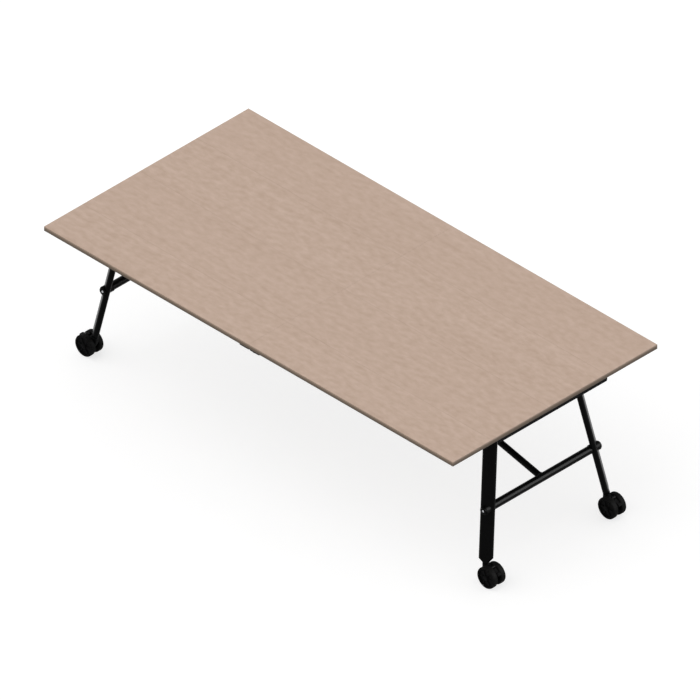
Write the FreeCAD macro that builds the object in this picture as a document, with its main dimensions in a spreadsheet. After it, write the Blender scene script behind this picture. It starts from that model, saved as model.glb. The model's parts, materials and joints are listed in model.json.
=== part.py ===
"""Folding conference table on casters.

Two half tops are hinged under their seam. Each end stands on two splayed legs that turn under their half
top, and a crossbar that turns in the legs carries a strut to the other half. X runs along the table, Y across
it, Z is up, and the origin is on the floor under the middle of the table. Lengths are millimetres, and angles
are degrees.
"""
import FreeCAD, Part
import os
import Sketcher
from FreeCAD import Placement, Rotation, Vector

SIZES = [
    # half tops
    ("table_length", "2400"),
    ("table_width", "1200"),
    ("table_height", "755"),
    ("panel_thickness", "22"),
    ("seam_gap", "0.3"),
    ("edge_band", "2"),
    ("edge_round", "0.8"),
    # steel frame under each half top
    ("rail_size", "25"),
    ("rail_wall", "2"),
    ("end_rail_inset", "10"),
    ("rail_clearance", "0.7"),
    ("centre_rail_inset", "20"),
    # centre hinges
    ("hinge_drop", "25"),
    ("hinge_edge_inset", "31"),
    ("hinge_width", "40"),
    ("knuckle_width", "12"),
    ("knuckle_radius", "12"),
    ("knuckle_play", "0.3"),
    ("leaf_reach", "38"),
    ("leaf_gap", "2"),
    ("leaf_thickness", "4"),
    ("hinge_pin_radius", "4"),
    ("hinge_screw_reach", "28"),
    ("hinge_screw_spread", "12"),
    # legs, given at the height of the crossbar
    ("leg_broad", "61.5"),
    ("leg_slim", "26.5"),
    ("leg_wall", "2"),
    ("splay_run_along", "129"),
    ("splay_run_across", "178"),
    ("splay_rise", "1000"),
    ("leg_half_spread", "312"),
    ("leg_head", "22"),
    ("leg_foot_height", "118"),
    # pivots of the legs
    ("pivot_drop", "60"),
    ("pivot_pin_radius", "8"),
    ("pivot_sleeve_radius", "12"),
    ("pivot_side_play", "0.5"),
    ("clevis_half_gap", "30.5"),
    ("ear_thickness", "6"),
    ("ear_radius", "20"),
    ("bracket_reach", "36"),
    ("bracket_plate", "4"),
    ("bracket_screw_reach", "28"),
    ("bracket_screw_spread", "15"),
    # crossbars and their bushes
    ("crossbar_inset", "83"),
    ("crossbar_height", "335"),
    ("crossbar_radius", "18.25"),
    ("crossbar_wall", "2.5"),
    ("crossbar_overhang", "26.5"),
    ("cap_radius", "17.5"),
    ("cap_thickness", "4"),
    ("cap_round", "2"),
    ("cap_plug", "15"),
    ("bush_wall", "2"),
    ("bush_half_length", "23"),
    # struts and their saddles
    ("strut_radius", "14.4"),
    ("strut_wall", "2.5"),
    ("strut_foot_offset", "5"),
    ("strut_side_offset", "50"),
    ("strut_end_plug", "30"),
    ("strut_eye_radius", "16.5"),
    ("strut_eye_play", "1"),
    ("anchor_offset", "124.3"),
    ("anchor_drop", "45"),
    ("strut_pin_radius", "8"),
    ("strut_pin_reach", "30"),
    ("saddle_half_gap", "17"),
    ("cheek_thickness", "12"),
    ("cheek_wall", "14"),
    ("cheek_lip", "9"),
    ("saddle_play", "0.3"),
    ("saddle_rise", "5"),
    ("saddle_plate", "6"),
    ("saddle_screw_reach", "31"),
    ("saddle_margin", "7"),
    # seam latch
    ("latch_from_edge", "100"),
    ("latch_half_width", "22"),
    ("latch_depth", "20"),
    ("latch_floor", "4"),
    ("guide_inset", "12"),
    ("guide_length", "60"),
    ("keeper_inset", "8"),
    ("keeper_length", "32"),
    ("keeper_slot_depth", "24"),
    ("bolt_half_width", "10"),
    ("bolt_thickness", "6"),
    ("bolt_length", "58"),
    ("bolt_nose_inset", "4"),
    ("bolt_travel", "26"),
    ("bolt_play", "0.3"),
    ("knob_stem_radius", "4.5"),
    ("knob_radius", "8"),
    ("knob_thickness", "4"),
    ("knob_from_tail", "10"),
    ("knob_gap", "1"),
    ("latch_screw_spread", "16"),
    # screws
    ("screw_radius", "2"),
    ("screw_grip", "14"),
    ("screw_head_radius", "4"),
    ("screw_head_height", "2.5"),
    ("rail_screw_first", "140"),
    ("rail_screw_step", "290"),
    ("cross_screw_spread", "200"),
    # casters
    ("wheel_radius", "50"),
    ("wheel_width", "25"),
    ("wheel_gap", "22"),
    ("wheel_round", "2.5"),
    ("dish_radius", "38"),
    ("dish_depth", "4"),
    ("hub_radius", "12"),
    ("hub_skin", "3"),
    ("axle_radius", "4"),
    ("axle_end_play", "0.5"),
    ("caster_trail", "33"),
    ("caster_side_play", "0.8"),
    ("caster_disc_radius", "34"),
    ("caster_head_radius", "15"),
    ("caster_head_bottom", "95"),
    ("caster_height", "98"),
    ("stem_radius", "5.5"),
    ("stem_bottom", "60"),
    ("stem_block_reach", "14"),
    ("stem_grip", "20"),
    ("collar_radius", "10"),
    ("collar_thickness", "2"),
    ("swivel_play", "0.3"),
    ("stem_aim_height", "100"),
    ("neck_radius", "15"),
    ("neck_height", "2"),
    ("socket_plug", "45"),
    # brake pedals
    ("pedal_pivot_reach", "7.6"),
    ("pedal_pivot_rise", "43.3"),
    ("pedal_boss_radius", "6"),
    ("pedal_boss_half_width", "4"),
    ("pedal_trunnion_radius", "3"),
    ("pedal_half_width", "9.5"),
    ("pedal_play", "0.3"),
    ("pedal_tilt", "28"),
    ("pedal_length", "47"),
    ("pedal_start", "9"),
    ("pedal_thickness", "4"),
    ("pedal_pad_length", "13"),
    ("pedal_pad_height", "3"),
    ("pedal_cheek_radius", "5.5"),
    # fits
    ("running_clearance", "0.05"),
    ("screw_clearance", "0.1"),
]

doc = FreeCAD.newDocument("folding_conference_table")
sizes = doc.addObject("Spreadsheet::Sheet", "sizes")
for row, (alias, text) in enumerate(SIZES, start=1):
    sizes.set(f"A{row}", alias)
    sizes.set(f"B{row}", text)
    sizes.setAlias(f"B{row}", alias)
doc.recompute()

# Places that several pieces share, as expressions of the sheet
HALF_LENGTH = "(sizes.table_length / 2)"
HALF_WIDTH = "(sizes.table_width / 2)"
SEAM = "(sizes.seam_gap / 2)"
UNDERSIDE = "(sizes.table_height - sizes.panel_thickness)"
RAIL_Z = f"({UNDERSIDE} - sizes.rail_size)"
HINGE_Z = f"({UNDERSIDE} - sizes.hinge_drop)"
BAR_X = f"({HALF_LENGTH} - sizes.crossbar_inset)"
BAR_Z = "sizes.crossbar_height"
SPLAY_ALONG = "(sizes.splay_run_along / sizes.splay_rise)"
SPLAY_ACROSS = "(sizes.splay_run_across / sizes.splay_rise)"
PIVOT_Z = f"({UNDERSIDE} - sizes.pivot_drop)"
PIVOT_X = f"({BAR_X} - {SPLAY_ALONG} * ({PIVOT_Z} - {BAR_Z}))"
PIVOT_Y = f"(sizes.leg_half_spread - {SPLAY_ACROSS} * ({PIVOT_Z} - {BAR_Z}))"
BRACKET_HALF = "(sizes.clevis_half_gap + sizes.ear_thickness)"
FRAME_HALF = f"({PIVOT_Y} + {BRACKET_HALF} + sizes.rail_clearance + sizes.rail_size)"
STEM_X = f"({BAR_X} + {SPLAY_ALONG} * ({BAR_Z} - sizes.stem_aim_height))"
STEM_Y = f"(sizes.leg_half_spread + {SPLAY_ACROSS} * ({BAR_Z} - sizes.stem_aim_height))"
WHEEL_X = f"({STEM_X} + sizes.caster_trail)"
COLLAR_Z = "(sizes.caster_height + sizes.swivel_play)"
SOCKET_Z = f"({COLLAR_Z} + sizes.collar_thickness)"
ANCHOR_Z = f"({UNDERSIDE} - sizes.anchor_drop)"
LATCH_Y = f"(sizes.latch_from_edge - {HALF_WIDTH})"
LATCH_Z = f"({UNDERSIDE} - sizes.latch_depth)"
BOLT_Z = f"({LATCH_Z} + sizes.latch_floor + sizes.bolt_play)"

ALONG_Y = Rotation(Vector(1, 0, 0), -90)
HALF_TURN = Placement(Vector(0, 0, 0), Rotation(Vector(0, 0, 1), 180))
PIECES = []


def number(expression):
    """Value of an expression of the sheet."""
    return float(sizes.evalExpression(str(expression)))


def bind(obj, **expressions):
    """Tie properties of an object to the sheet; x, y and z are the place of its own origin."""
    for name, expression in expressions.items():
        target = f"Placement.Base.{name}" if name in "xyz" else name
        obj.setExpression(target, str(expression))
    return obj


def box(dx, dy, dz, x, y, z):
    return bind(doc.addObject("Part::Box", "block"), Length=dx, Width=dy, Height=dz, x=x, y=y, z=z)


def rod_y(radius, length, x, y, z):
    """Round bar from y towards +Y."""
    rod = doc.addObject("Part::Cylinder", "rod")
    rod.Placement = Placement(Vector(), ALONG_Y)
    return bind(rod, Radius=radius, Height=length, x=x, y=y, z=z)


def rod_z(radius, length, x, y, z):
    """Round bar from z upwards."""
    return bind(doc.addObject("Part::Cylinder", "rod"), Radius=radius, Height=length, x=x, y=y, z=z)


def fuse(*shapes):
    joined = doc.addObject("Part::MultiFuse", "joined")
    joined.Shapes = list(shapes)
    joined.Refine = True
    return joined


def cut(base, *tools):
    """Base less every tool."""
    result = doc.addObject("Part::Cut", "trimmed")
    result.Base = base
    result.Tool = tools[0] if len(tools) == 1 else group(*tools)
    return result


def group(*shapes):
    """Separate solids kept together."""
    together = doc.addObject("Part::Compound", "group")
    together.Links = list(shapes)
    return together


def mirrored(source):
    """The same piece on the other side of the table's long middle plane."""
    copy = doc.addObject("Part::Mirroring", "mirrored")
    copy.Source = source
    copy.Normal = (0, 1, 0)
    copy.Base = (0, 0, 0)
    return copy


def turned(source):
    """The same piece at the other end of the table, half a turn about the middle."""
    copy = group(source)
    copy.Placement = HALF_TURN
    return copy


def rounded(source, radius, wanted):
    """Round the edges of a solid whose middle point passes the test."""
    doc.recompute()
    soft = doc.addObject("Part::Fillet", "rounded")
    soft.Base = source
    size = number(radius)
    picked = []
    for index, edge in enumerate(source.Shape.Edges, start=1):
        middle = edge.valueAt((edge.FirstParameter + edge.LastParameter) / 2)
        if wanted(edge, middle):
            picked.append((index, size, size))
    soft.Edges = picked
    return soft


def piece(label, shape):
    """Name a finished sub-part and keep it for writing."""
    shape.Label = label
    PIECES.append(shape)
    return shape


def ends(name, shape):
    """A sub-part of the right end, and the same one at the left end."""
    piece(f"{name}_right", shape)
    piece(f"{name}_left", turned(shape))


def corners(name, rear, suffix=""):
    """A sub-part of the right rear corner, and the same one at the other three corners."""
    front = mirrored(rear)
    piece(f"{name}_right_rear{suffix}", rear)
    piece(f"{name}_right_front{suffix}", front)
    piece(f"{name}_left_front{suffix}", turned(rear))
    piece(f"{name}_left_rear{suffix}", turned(front))


def square_tube_x(x0, x1, y, z):
    """Square rail along X between two places, with its low corner at y and z."""
    wall = "sizes.rail_wall"
    bore = f"(sizes.rail_size - 2 * {wall})"
    outside = box(f"{x1} - ({x0})", "sizes.rail_size", "sizes.rail_size", x0, y, z)
    inside = box(f"{x1} - ({x0})", bore, bore, x0, f"{y} + {wall}", f"{z} + {wall}")
    return cut(outside, inside)


def square_tube_y(x, z):
    """Square rail across the table, as wide as the frame."""
    wall = "sizes.rail_wall"
    bore = f"(sizes.rail_size - 2 * {wall})"
    length = f"2 * {FRAME_HALF}"
    start = f"-{FRAME_HALF}"
    outside = box("sizes.rail_size", length, "sizes.rail_size", x, start, z)
    inside = box(bore, length, bore, f"{x} + {wall}", start, f"{z} + {wall}")
    return cut(outside, inside)


def screw_holes(sites):
    """One clearance hole through what each screw holds and into the half top above it."""
    radius = "sizes.screw_radius + sizes.screw_clearance"
    holes = []
    for x, y, seat in sites:
        length = f"{UNDERSIDE} - ({seat}) + sizes.screw_grip + sizes.screw_clearance"
        holes.append(rod_z(radius, length, x, y, seat))
    return holes


def screws(sites):
    """Pan-head screws, each with its head under its seat."""
    made = []
    for x, y, seat in sites:
        shank = rod_z("sizes.screw_radius", f"{UNDERSIDE} - ({seat}) + sizes.screw_grip", x, y, seat)
        head_z = f"{seat} - sizes.screw_head_height"
        head = rod_z("sizes.screw_head_radius", "sizes.screw_head_height", x, y, head_z)
        made.append(fuse(shank, head))
    return group(*made)


# Frame under each half top
def screw_rows():
    """Screw places of the right half's frame: a row in each side rail and a pair in each cross rail."""
    side_y = f"({FRAME_HALF} - sizes.rail_size / 2)"
    side = []
    for index in range(4):
        x = f"(sizes.rail_screw_first + {index} * sizes.rail_screw_step)"
        side += [(x, side_y, RAIL_Z), (x, f"(-{side_y})", RAIL_Z)]
    end_x = f"({HALF_LENGTH} - sizes.end_rail_inset - sizes.rail_size / 2)"
    centre_x = "(sizes.centre_rail_inset + sizes.rail_size / 2)"
    spread = "sizes.cross_screw_spread"
    end = [(end_x, spread, RAIL_Z), (end_x, f"(-{spread})", RAIL_Z)]
    centre = [(centre_x, spread, RAIL_Z), (centre_x, f"(-{spread})", RAIL_Z)]
    return side, end, centre


side_sites, end_sites, centre_sites = screw_rows()
end_rail_x = f"({HALF_LENGTH} - sizes.end_rail_inset - sizes.rail_size)"
ends("end_rail", cut(square_tube_y(end_rail_x, RAIL_Z), *screw_holes(end_sites)))
ends("centre_rail", cut(square_tube_y("sizes.centre_rail_inset", RAIL_Z), *screw_holes(centre_sites)))
side_low_y = f"({FRAME_HALF} - sizes.rail_size)"
centre_rail_far = "(sizes.centre_rail_inset + sizes.rail_size)"
rear_tube = square_tube_x(centre_rail_far, end_rail_x, side_low_y, RAIL_Z)
rear_side_rail = cut(rear_tube, *screw_holes(side_sites[0::2]))
ends("side_rails", group(rear_side_rail, mirrored(rear_side_rail)))


# Pivot brackets and pins of the legs
def pivot_bracket():
    """Plate under the half top with two ears, either side of the head of the rear leg."""
    ear_top = f"({UNDERSIDE} - sizes.bracket_plate)"
    inner_y = f"({PIVOT_Y} - {BRACKET_HALF})"
    outer_y = f"({PIVOT_Y} + sizes.clevis_half_gap)"
    width = f"2 * {BRACKET_HALF}"
    plate = box("2 * sizes.bracket_reach", width, "sizes.bracket_plate",
                f"{PIVOT_X} - sizes.bracket_reach", inner_y, ear_top)
    solids = [plate]
    for y in (inner_y, outer_y):
        solids.append(rod_y("sizes.ear_radius", "sizes.ear_thickness", PIVOT_X, y, PIVOT_Z))
        solids.append(box("2 * sizes.ear_radius", "sizes.ear_thickness", f"{ear_top} - {PIVOT_Z}",
                          f"{PIVOT_X} - sizes.ear_radius", y, PIVOT_Z))
    bore = rod_y("sizes.pivot_pin_radius + sizes.running_clearance", width, PIVOT_X, inner_y, PIVOT_Z)
    return cut(fuse(*solids), bore, *screw_holes(bracket_sites[:4]))


def bracket_screws():
    seat = f"({UNDERSIDE} - sizes.bracket_plate)"
    sites = []
    for side in ("", "-"):
        for dx in ("-", "+"):
            for dy in ("-", "+"):
                x = f"({PIVOT_X} {dx} sizes.bracket_screw_reach)"
                y = f"({side}({PIVOT_Y} {dy} sizes.bracket_screw_spread))"
                sites.append((x, y, seat))
    return sites


bracket_sites = bracket_screws()
rear_bracket = pivot_bracket()
ends("pivot_brackets", group(rear_bracket, mirrored(rear_bracket)))
pin_start = f"({PIVOT_Y} - {BRACKET_HALF})"
rear_pin = rod_y("sizes.pivot_pin_radius", f"2 * {BRACKET_HALF}", PIVOT_X, pin_start, PIVOT_Z)
ends("pivot_pins", group(rear_pin, mirrored(rear_pin)))


# Legs
def leg_frame(height):
    """Placement on the rear leg's axis at a height: Z runs down the leg, X along its broad side."""
    lean = Vector(number(SPLAY_ALONG), number(SPLAY_ACROSS), -1)
    rise = number(BAR_Z) - height
    base = Vector(number(BAR_X), number("sizes.leg_half_spread"), number(BAR_Z))
    down = Vector(lean).normalize()
    broad = Vector(1, -1, 0)
    broad = (broad - down * broad.dot(down)).normalize()
    return Placement(base + lean * rise, Rotation(broad, down.cross(broad), down, "ZXY"))


def slot_sketch(body, name, broad, slim):
    """Flat-oval outline about the body's axis."""
    sketch = body.newObject("Sketcher::SketchObject", name)
    plane = [item for item in body.Origin.OriginFeatures if item.Role == "XY_Plane"][0]
    sketch.AttachmentSupport = (plane, [""])
    sketch.MapMode = "FlatFace"
    radius = number(slim) / 2
    reach = number(broad) / 2 - radius
    up, right = Vector(0, 0, 1), Vector(reach, 0, 0)
    quarter = 1.5707963267948966
    sketch.addGeometry(Part.ArcOfCircle(Part.Circle(right, up, radius), -quarter, quarter), False)
    sketch.addGeometry(Part.ArcOfCircle(Part.Circle(-right, up, radius), quarter, 3 * quarter), False)
    sketch.addGeometry(Part.LineSegment(Vector(reach, radius, 0), Vector(-reach, radius, 0)), False)
    sketch.addGeometry(Part.LineSegment(Vector(-reach, -radius, 0), Vector(reach, -radius, 0)), False)
    for first, first_end, second, second_end in ((0, 2, 2, 1), (2, 2, 1, 1), (1, 2, 3, 1), (3, 2, 0, 1)):
        sketch.addConstraint(Sketcher.Constraint("Tangent", first, first_end, second, second_end))
    sketch.addConstraint(Sketcher.Constraint("PointOnObject", 0, 3, -1))
    sketch.addConstraint(Sketcher.Constraint("Symmetric", 0, 3, 1, 3, -1, 1))
    round_size = sketch.addConstraint(Sketcher.Constraint("Radius", 0, radius))
    spacing = sketch.addConstraint(Sketcher.Constraint("DistanceX", 1, 3, 0, 3, 2 * reach))
    sketch.setExpression(f"Constraints[{round_size}]", f"({slim}) / 2")
    sketch.setExpression(f"Constraints[{spacing}]", f"({broad}) - ({slim})")
    return sketch


def slot_bar(name, broad, slim, length, frame):
    """Flat-oval bar down the leg from a place on its axis."""
    body = doc.addObject("PartDesign::Body", name)
    pad = body.newObject("PartDesign::Pad", "pad")
    pad.Profile = slot_sketch(body, "outline", broad, slim)
    pad.setExpression("Length", length)
    body.Tip = pad
    body.Placement = frame
    return body


LEG_STRETCH = f"sqrt(1 + {SPLAY_ALONG} ^ 2 + {SPLAY_ACROSS} ^ 2)"
LEG_TOP = f"({PIVOT_Z} + sizes.leg_head)"


def leg():
    """Flat-oval tube with a sleeve for the pivot pin, bored for the bush of the crossbar."""
    length = f"({LEG_TOP} - sizes.leg_foot_height) * {LEG_STRETCH}"
    top = leg_frame(number(LEG_TOP))
    tube = slot_bar("leg_tube", "sizes.leg_broad", "sizes.leg_slim", length, top)
    hollow = slot_bar("leg_hollow", "sizes.leg_broad - 2 * sizes.leg_wall",
                      "sizes.leg_slim - 2 * sizes.leg_wall", length, top)
    reach = "(sizes.clevis_half_gap - sizes.pivot_side_play)"
    sleeve_y = f"({PIVOT_Y} - {reach})"
    sleeve = rod_y("sizes.pivot_sleeve_radius", f"2 * {reach}", PIVOT_X, sleeve_y, PIVOT_Z)
    pin_bore = rod_y("sizes.pivot_pin_radius + sizes.running_clearance", f"2 * {reach}",
                     PIVOT_X, sleeve_y, PIVOT_Z)
    bush_bore = rod_y("sizes.crossbar_radius + sizes.bush_wall + 2 * sizes.running_clearance",
                      "2 * sizes.leg_broad", BAR_X, "sizes.leg_half_spread - sizes.leg_broad", BAR_Z)
    return cut(fuse(cut(tube, hollow), sleeve), pin_bore, bush_bore)


corners("leg", leg())


# Foot sockets: a plug in the leg that runs down to a level neck for the caster's stem
def oval_wire(frame, broad, slim):
    """Closed flat-oval wire on a placement, starting at the end of its long side."""
    radius = slim / 2
    reach = broad / 2 - radius
    east, west = Vector(reach + radius, 0, 0), Vector(-reach - radius, 0, 0)
    a, b = Vector(reach, radius, 0), Vector(-reach, radius, 0)
    c, d = Vector(-reach, -radius, 0), Vector(reach, -radius, 0)
    edges = [Part.LineSegment(a, b).toShape(), Part.Arc(b, west, c).toShape(),
             Part.LineSegment(c, d).toShape(), Part.Arc(d, east, a).toShape()]
    wire = Part.Wire(edges)
    wire.Placement = frame
    return wire


def round_wire(centre, radius, long_direction, corner):
    """Level circle in four arcs that face the four sides of the leg's flat oval."""
    side = Vector(0, 0, -1).cross(long_direction)
    signs = ((1, 1), (-1, 1), (-1, -1), (1, -1))
    rim = [long_direction * (u * corner[0]) + side * (v * corner[1]) for u, v in signs]
    middles = [side, -long_direction, -side, long_direction]
    points = [centre + spoke.normalize() * radius for spoke in rim]
    edges = []
    for index, middle in enumerate(middles):
        through = centre + Vector(middle).normalize() * radius
        edges.append(Part.Arc(points[index], through, points[(index + 1) % 4]).toShape())
    return Part.Wire(edges)


def foot_taper():
    """Loft from the leg's flat-oval end to the round neck above the caster."""
    frame = leg_frame(number("sizes.leg_foot_height"))
    broad, slim = number("sizes.leg_broad"), number("sizes.leg_slim")
    neck_top = number(SOCKET_Z) + number("sizes.neck_height")
    centre = Vector(number(STEM_X), number(STEM_Y), neck_top)
    long_direction = frame.Rotation.multVec(Vector(1, 0, 0))
    long_direction = Vector(long_direction.x, long_direction.y, 0).normalize()
    circle = round_wire(centre, number("sizes.neck_radius"), long_direction, (broad - slim, slim))
    taper = doc.addObject("Part::Feature", "foot_taper")
    taper.Shape = Part.makeLoft([oval_wire(frame, broad, slim), circle], True)
    return taper


def foot_socket():
    plug_gap = "2 * (sizes.leg_wall + sizes.running_clearance)"
    plug_height = number("sizes.leg_foot_height") + number("sizes.socket_plug") / number(LEG_STRETCH)
    plug = slot_bar("foot_plug", f"sizes.leg_broad - {plug_gap}", f"sizes.leg_slim - {plug_gap}",
                    "sizes.socket_plug", leg_frame(plug_height))
    neck = rod_z("sizes.neck_radius", "sizes.neck_height", STEM_X, STEM_Y, SOCKET_Z)
    bore = rod_z("sizes.stem_radius + sizes.running_clearance", "sizes.stem_grip + sizes.axle_end_play",
                 STEM_X, STEM_Y, SOCKET_Z)
    return cut(fuse(plug, foot_taper(), neck), bore)


rear_socket = foot_socket()
ends("foot_sockets", group(rear_socket, mirrored(rear_socket)))


# Crossbars, their bushes and caps
def crossbar():
    half = "(sizes.leg_half_spread + sizes.crossbar_overhang)"
    outside = rod_y("sizes.crossbar_radius", f"2 * {half}", BAR_X, f"-{half}", BAR_Z)
    inside = rod_y("sizes.crossbar_radius - sizes.crossbar_wall", f"2 * {half}", BAR_X, f"-{half}", BAR_Z)
    return cut(outside, inside)


def bush():
    start = "sizes.leg_half_spread - sizes.bush_half_length"
    length = "2 * sizes.bush_half_length"
    bore = "sizes.crossbar_radius + sizes.running_clearance"
    outside = rod_y(f"{bore} + sizes.bush_wall", length, BAR_X, start, BAR_Z)
    inside = rod_y(bore, length, BAR_X, start, BAR_Z)
    return cut(outside, inside)


def crossbar_cap():
    end = "(sizes.leg_half_spread + sizes.crossbar_overhang)"
    head = rod_y("sizes.cap_radius", "sizes.cap_thickness", BAR_X, end, BAR_Z)
    rim = number(end) + number("sizes.cap_thickness")
    head = rounded(head, "sizes.cap_round", lambda edge, middle: abs(middle.y - rim) < 0.01 and edge.Closed)
    plug_radius = "sizes.crossbar_radius - sizes.crossbar_wall - sizes.running_clearance"
    plug = rod_y(plug_radius, "sizes.cap_plug", BAR_X, f"{end} - sizes.cap_plug", BAR_Z)
    return fuse(head, plug)


ends("crossbar", crossbar())
rear_bush = bush()
ends("crossbar_bushes", group(rear_bush, mirrored(rear_bush)))
rear_cap = crossbar_cap()
ends("crossbar_caps", group(rear_cap, mirrored(rear_cap)))


# Struts, welded to the crossbars, with a cross pin at the far end
def strut():
    foot_y = "sizes.strut_foot_offset"
    foot = Vector(number(BAR_X), number(foot_y), number(BAR_Z))
    tip = Vector(-number("sizes.anchor_offset"), -number("sizes.strut_side_offset"), number(ANCHOR_Z))
    run = tip - foot
    turn = Rotation(Vector(0, 0, 1), run)
    length = (f"sqrt(({BAR_X} + sizes.anchor_offset) ^ 2 + ({foot_y} + sizes.strut_side_offset) ^ 2"
              f" + ({ANCHOR_Z} - {BAR_Z}) ^ 2)")
    outside = rod_z("sizes.strut_radius", length, BAR_X, foot_y, BAR_Z)
    inside = rod_z("sizes.strut_radius - sizes.strut_wall", f"{length} - sizes.strut_end_plug",
                   BAR_X, foot_y, BAR_Z)
    for tube in (outside, inside):
        tube.Placement = Placement(tube.Placement.Base, turn)
    tip_x, tip_y = "-sizes.anchor_offset", "-sizes.strut_side_offset"
    eye_half = "(sizes.saddle_half_gap - sizes.strut_eye_play)"
    eye = rod_y("sizes.strut_eye_radius", f"2 * {eye_half}", tip_x, f"{tip_y} - {eye_half}", ANCHOR_Z)
    pin = rod_y("sizes.strut_pin_radius", "2 * sizes.strut_pin_reach", tip_x,
                f"{tip_y} - sizes.strut_pin_reach", ANCHOR_Z)
    cope = rod_y("sizes.crossbar_radius", "2 * sizes.leg_half_spread", BAR_X, "-sizes.leg_half_spread",
                 BAR_Z)
    return cut(cut(fuse(outside, eye, pin), inside), cope)


ends("strut", strut())


# Saddles: two cheeks under the half top, each a hook that is open towards the seam and downwards
def saddle_screws():
    seat = f"({UNDERSIDE} - sizes.saddle_plate)"
    y_far = "(sizes.saddle_half_gap + sizes.cheek_thickness / 2)"
    sites = []
    for dx in ("-", "+"):
        for dy in ("-", "+"):
            x = f"(sizes.anchor_offset {dx} sizes.saddle_screw_reach)"
            sites.append((x, f"(sizes.strut_side_offset {dy} {y_far})", seat))
    return sites


def saddle():
    plate_z = f"({UNDERSIDE} - sizes.saddle_plate)"
    reach = "(sizes.saddle_screw_reach + sizes.saddle_margin)"
    half = "(sizes.saddle_half_gap + sizes.cheek_thickness)"
    plate = box(f"2 * {reach}", f"2 * {half}", "sizes.saddle_plate",
                f"sizes.anchor_offset - {reach}", f"sizes.strut_side_offset - {half}", plate_z)
    seat = "(sizes.strut_pin_radius + sizes.saddle_play)"
    low = f"({ANCHOR_Z} - sizes.cheek_lip)"
    solids, hollows = [plate], []
    for side in ("-", "+"):
        middle = f"(sizes.strut_side_offset {side} ({half} + sizes.saddle_half_gap) / 2)"
        y = f"({middle} - sizes.cheek_thickness / 2)"
        thick = "sizes.cheek_thickness"
        solids.append(box(f"2 * {seat} + sizes.cheek_wall", thick, f"{plate_z} - {low}",
                          f"sizes.anchor_offset - {seat}", y, low))
        hollows.append(rod_y(seat, thick, "sizes.anchor_offset", y, ANCHOR_Z))
        hollows.append(box(seat, thick, f"{ANCHOR_Z} + {seat} + sizes.saddle_rise - {low}",
                           f"sizes.anchor_offset - {seat}", y, low))
        hollows.append(box(seat, thick, f"{ANCHOR_Z} - {low}", "sizes.anchor_offset", y, low))
    return cut(fuse(*solids), *hollows, *screw_holes(saddle_sites))


saddle_sites = saddle_screws()
ends("strut_saddle", saddle())


# Centre hinges
def hinge_screws(side):
    seat = f"({UNDERSIDE} - sizes.leaf_thickness)"
    middle = f"({HALF_WIDTH} - sizes.hinge_edge_inset - sizes.hinge_width / 2)"
    sites = []
    for row in ("", "-"):
        for dy in ("-", "+"):
            y = f"({row}({middle} {dy} sizes.hinge_screw_spread))"
            sites.append((f"({side}sizes.hinge_screw_reach)", y, seat))
    return sites


def hinge_leaf(side, knuckles):
    """Plate under one half top at the rear edge, with knuckles that hang round the hinge axis."""
    outer = f"({HALF_WIDTH} - sizes.hinge_edge_inset)"
    inner = f"({outer} - sizes.hinge_width)"
    plate_z = f"({UNDERSIDE} - sizes.leaf_thickness)"
    span = "(sizes.leaf_reach - sizes.leaf_gap)"
    plate_x = "sizes.leaf_gap" if side == "" else "-sizes.leaf_reach"
    solids = [box(span, "sizes.hinge_width", "sizes.leaf_thickness", plate_x, inner, plate_z)]
    for start, width in knuckles(inner):
        solids.append(rod_y("sizes.knuckle_radius", width, 0, start, HINGE_Z))
        web_x = 0 if side == "" else "-sizes.knuckle_radius"
        solids.append(box("sizes.knuckle_radius", width, f"{plate_z} - {HINGE_Z}", web_x, start, HINGE_Z))
    bore = rod_y("sizes.hinge_pin_radius + sizes.running_clearance", "sizes.hinge_width", 0, inner, HINGE_Z)
    return cut(fuse(*solids), bore, *screw_holes(hinge_screws(side)[:2]))


def outer_knuckles(inner):
    last = f"({inner} + sizes.hinge_width - sizes.knuckle_width)"
    return [(inner, "sizes.knuckle_width"), (last, "sizes.knuckle_width")]


def middle_knuckle(inner):
    start = f"({inner} + sizes.knuckle_width + sizes.knuckle_play)"
    return [(start, "(sizes.hinge_width - 2 * sizes.knuckle_width - 2 * sizes.knuckle_play)")]


right_leaf = hinge_leaf("", outer_knuckles)
left_leaf = hinge_leaf("-", middle_knuckle)
piece("hinge_leaves_right", group(right_leaf, mirrored(right_leaf)))
piece("hinge_leaves_left", group(left_leaf, mirrored(left_leaf)))
hinge_pin_y = f"({HALF_WIDTH} - sizes.hinge_edge_inset - sizes.hinge_width)"
rear_hinge_pin = rod_y("sizes.hinge_pin_radius", "sizes.hinge_width", 0, hinge_pin_y, HINGE_Z)
piece("hinge_pins", group(rear_hinge_pin, mirrored(rear_hinge_pin)))


# Seam latch: a bolt that slides along X out of its guide into the keeper; it is drawn back here
def latch_screws(x):
    return [(x, f"({LATCH_Y} {dy} sizes.latch_screw_spread)", LATCH_Z) for dy in ("-", "+")]


KNOB_X = "(sizes.bolt_nose_inset + sizes.bolt_length - sizes.knob_from_tail)"
guide_sites = latch_screws("(sizes.guide_inset + sizes.guide_length / 2)")
keeper_sites = latch_screws("(-sizes.keeper_inset - sizes.keeper_length / 2)")


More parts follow.
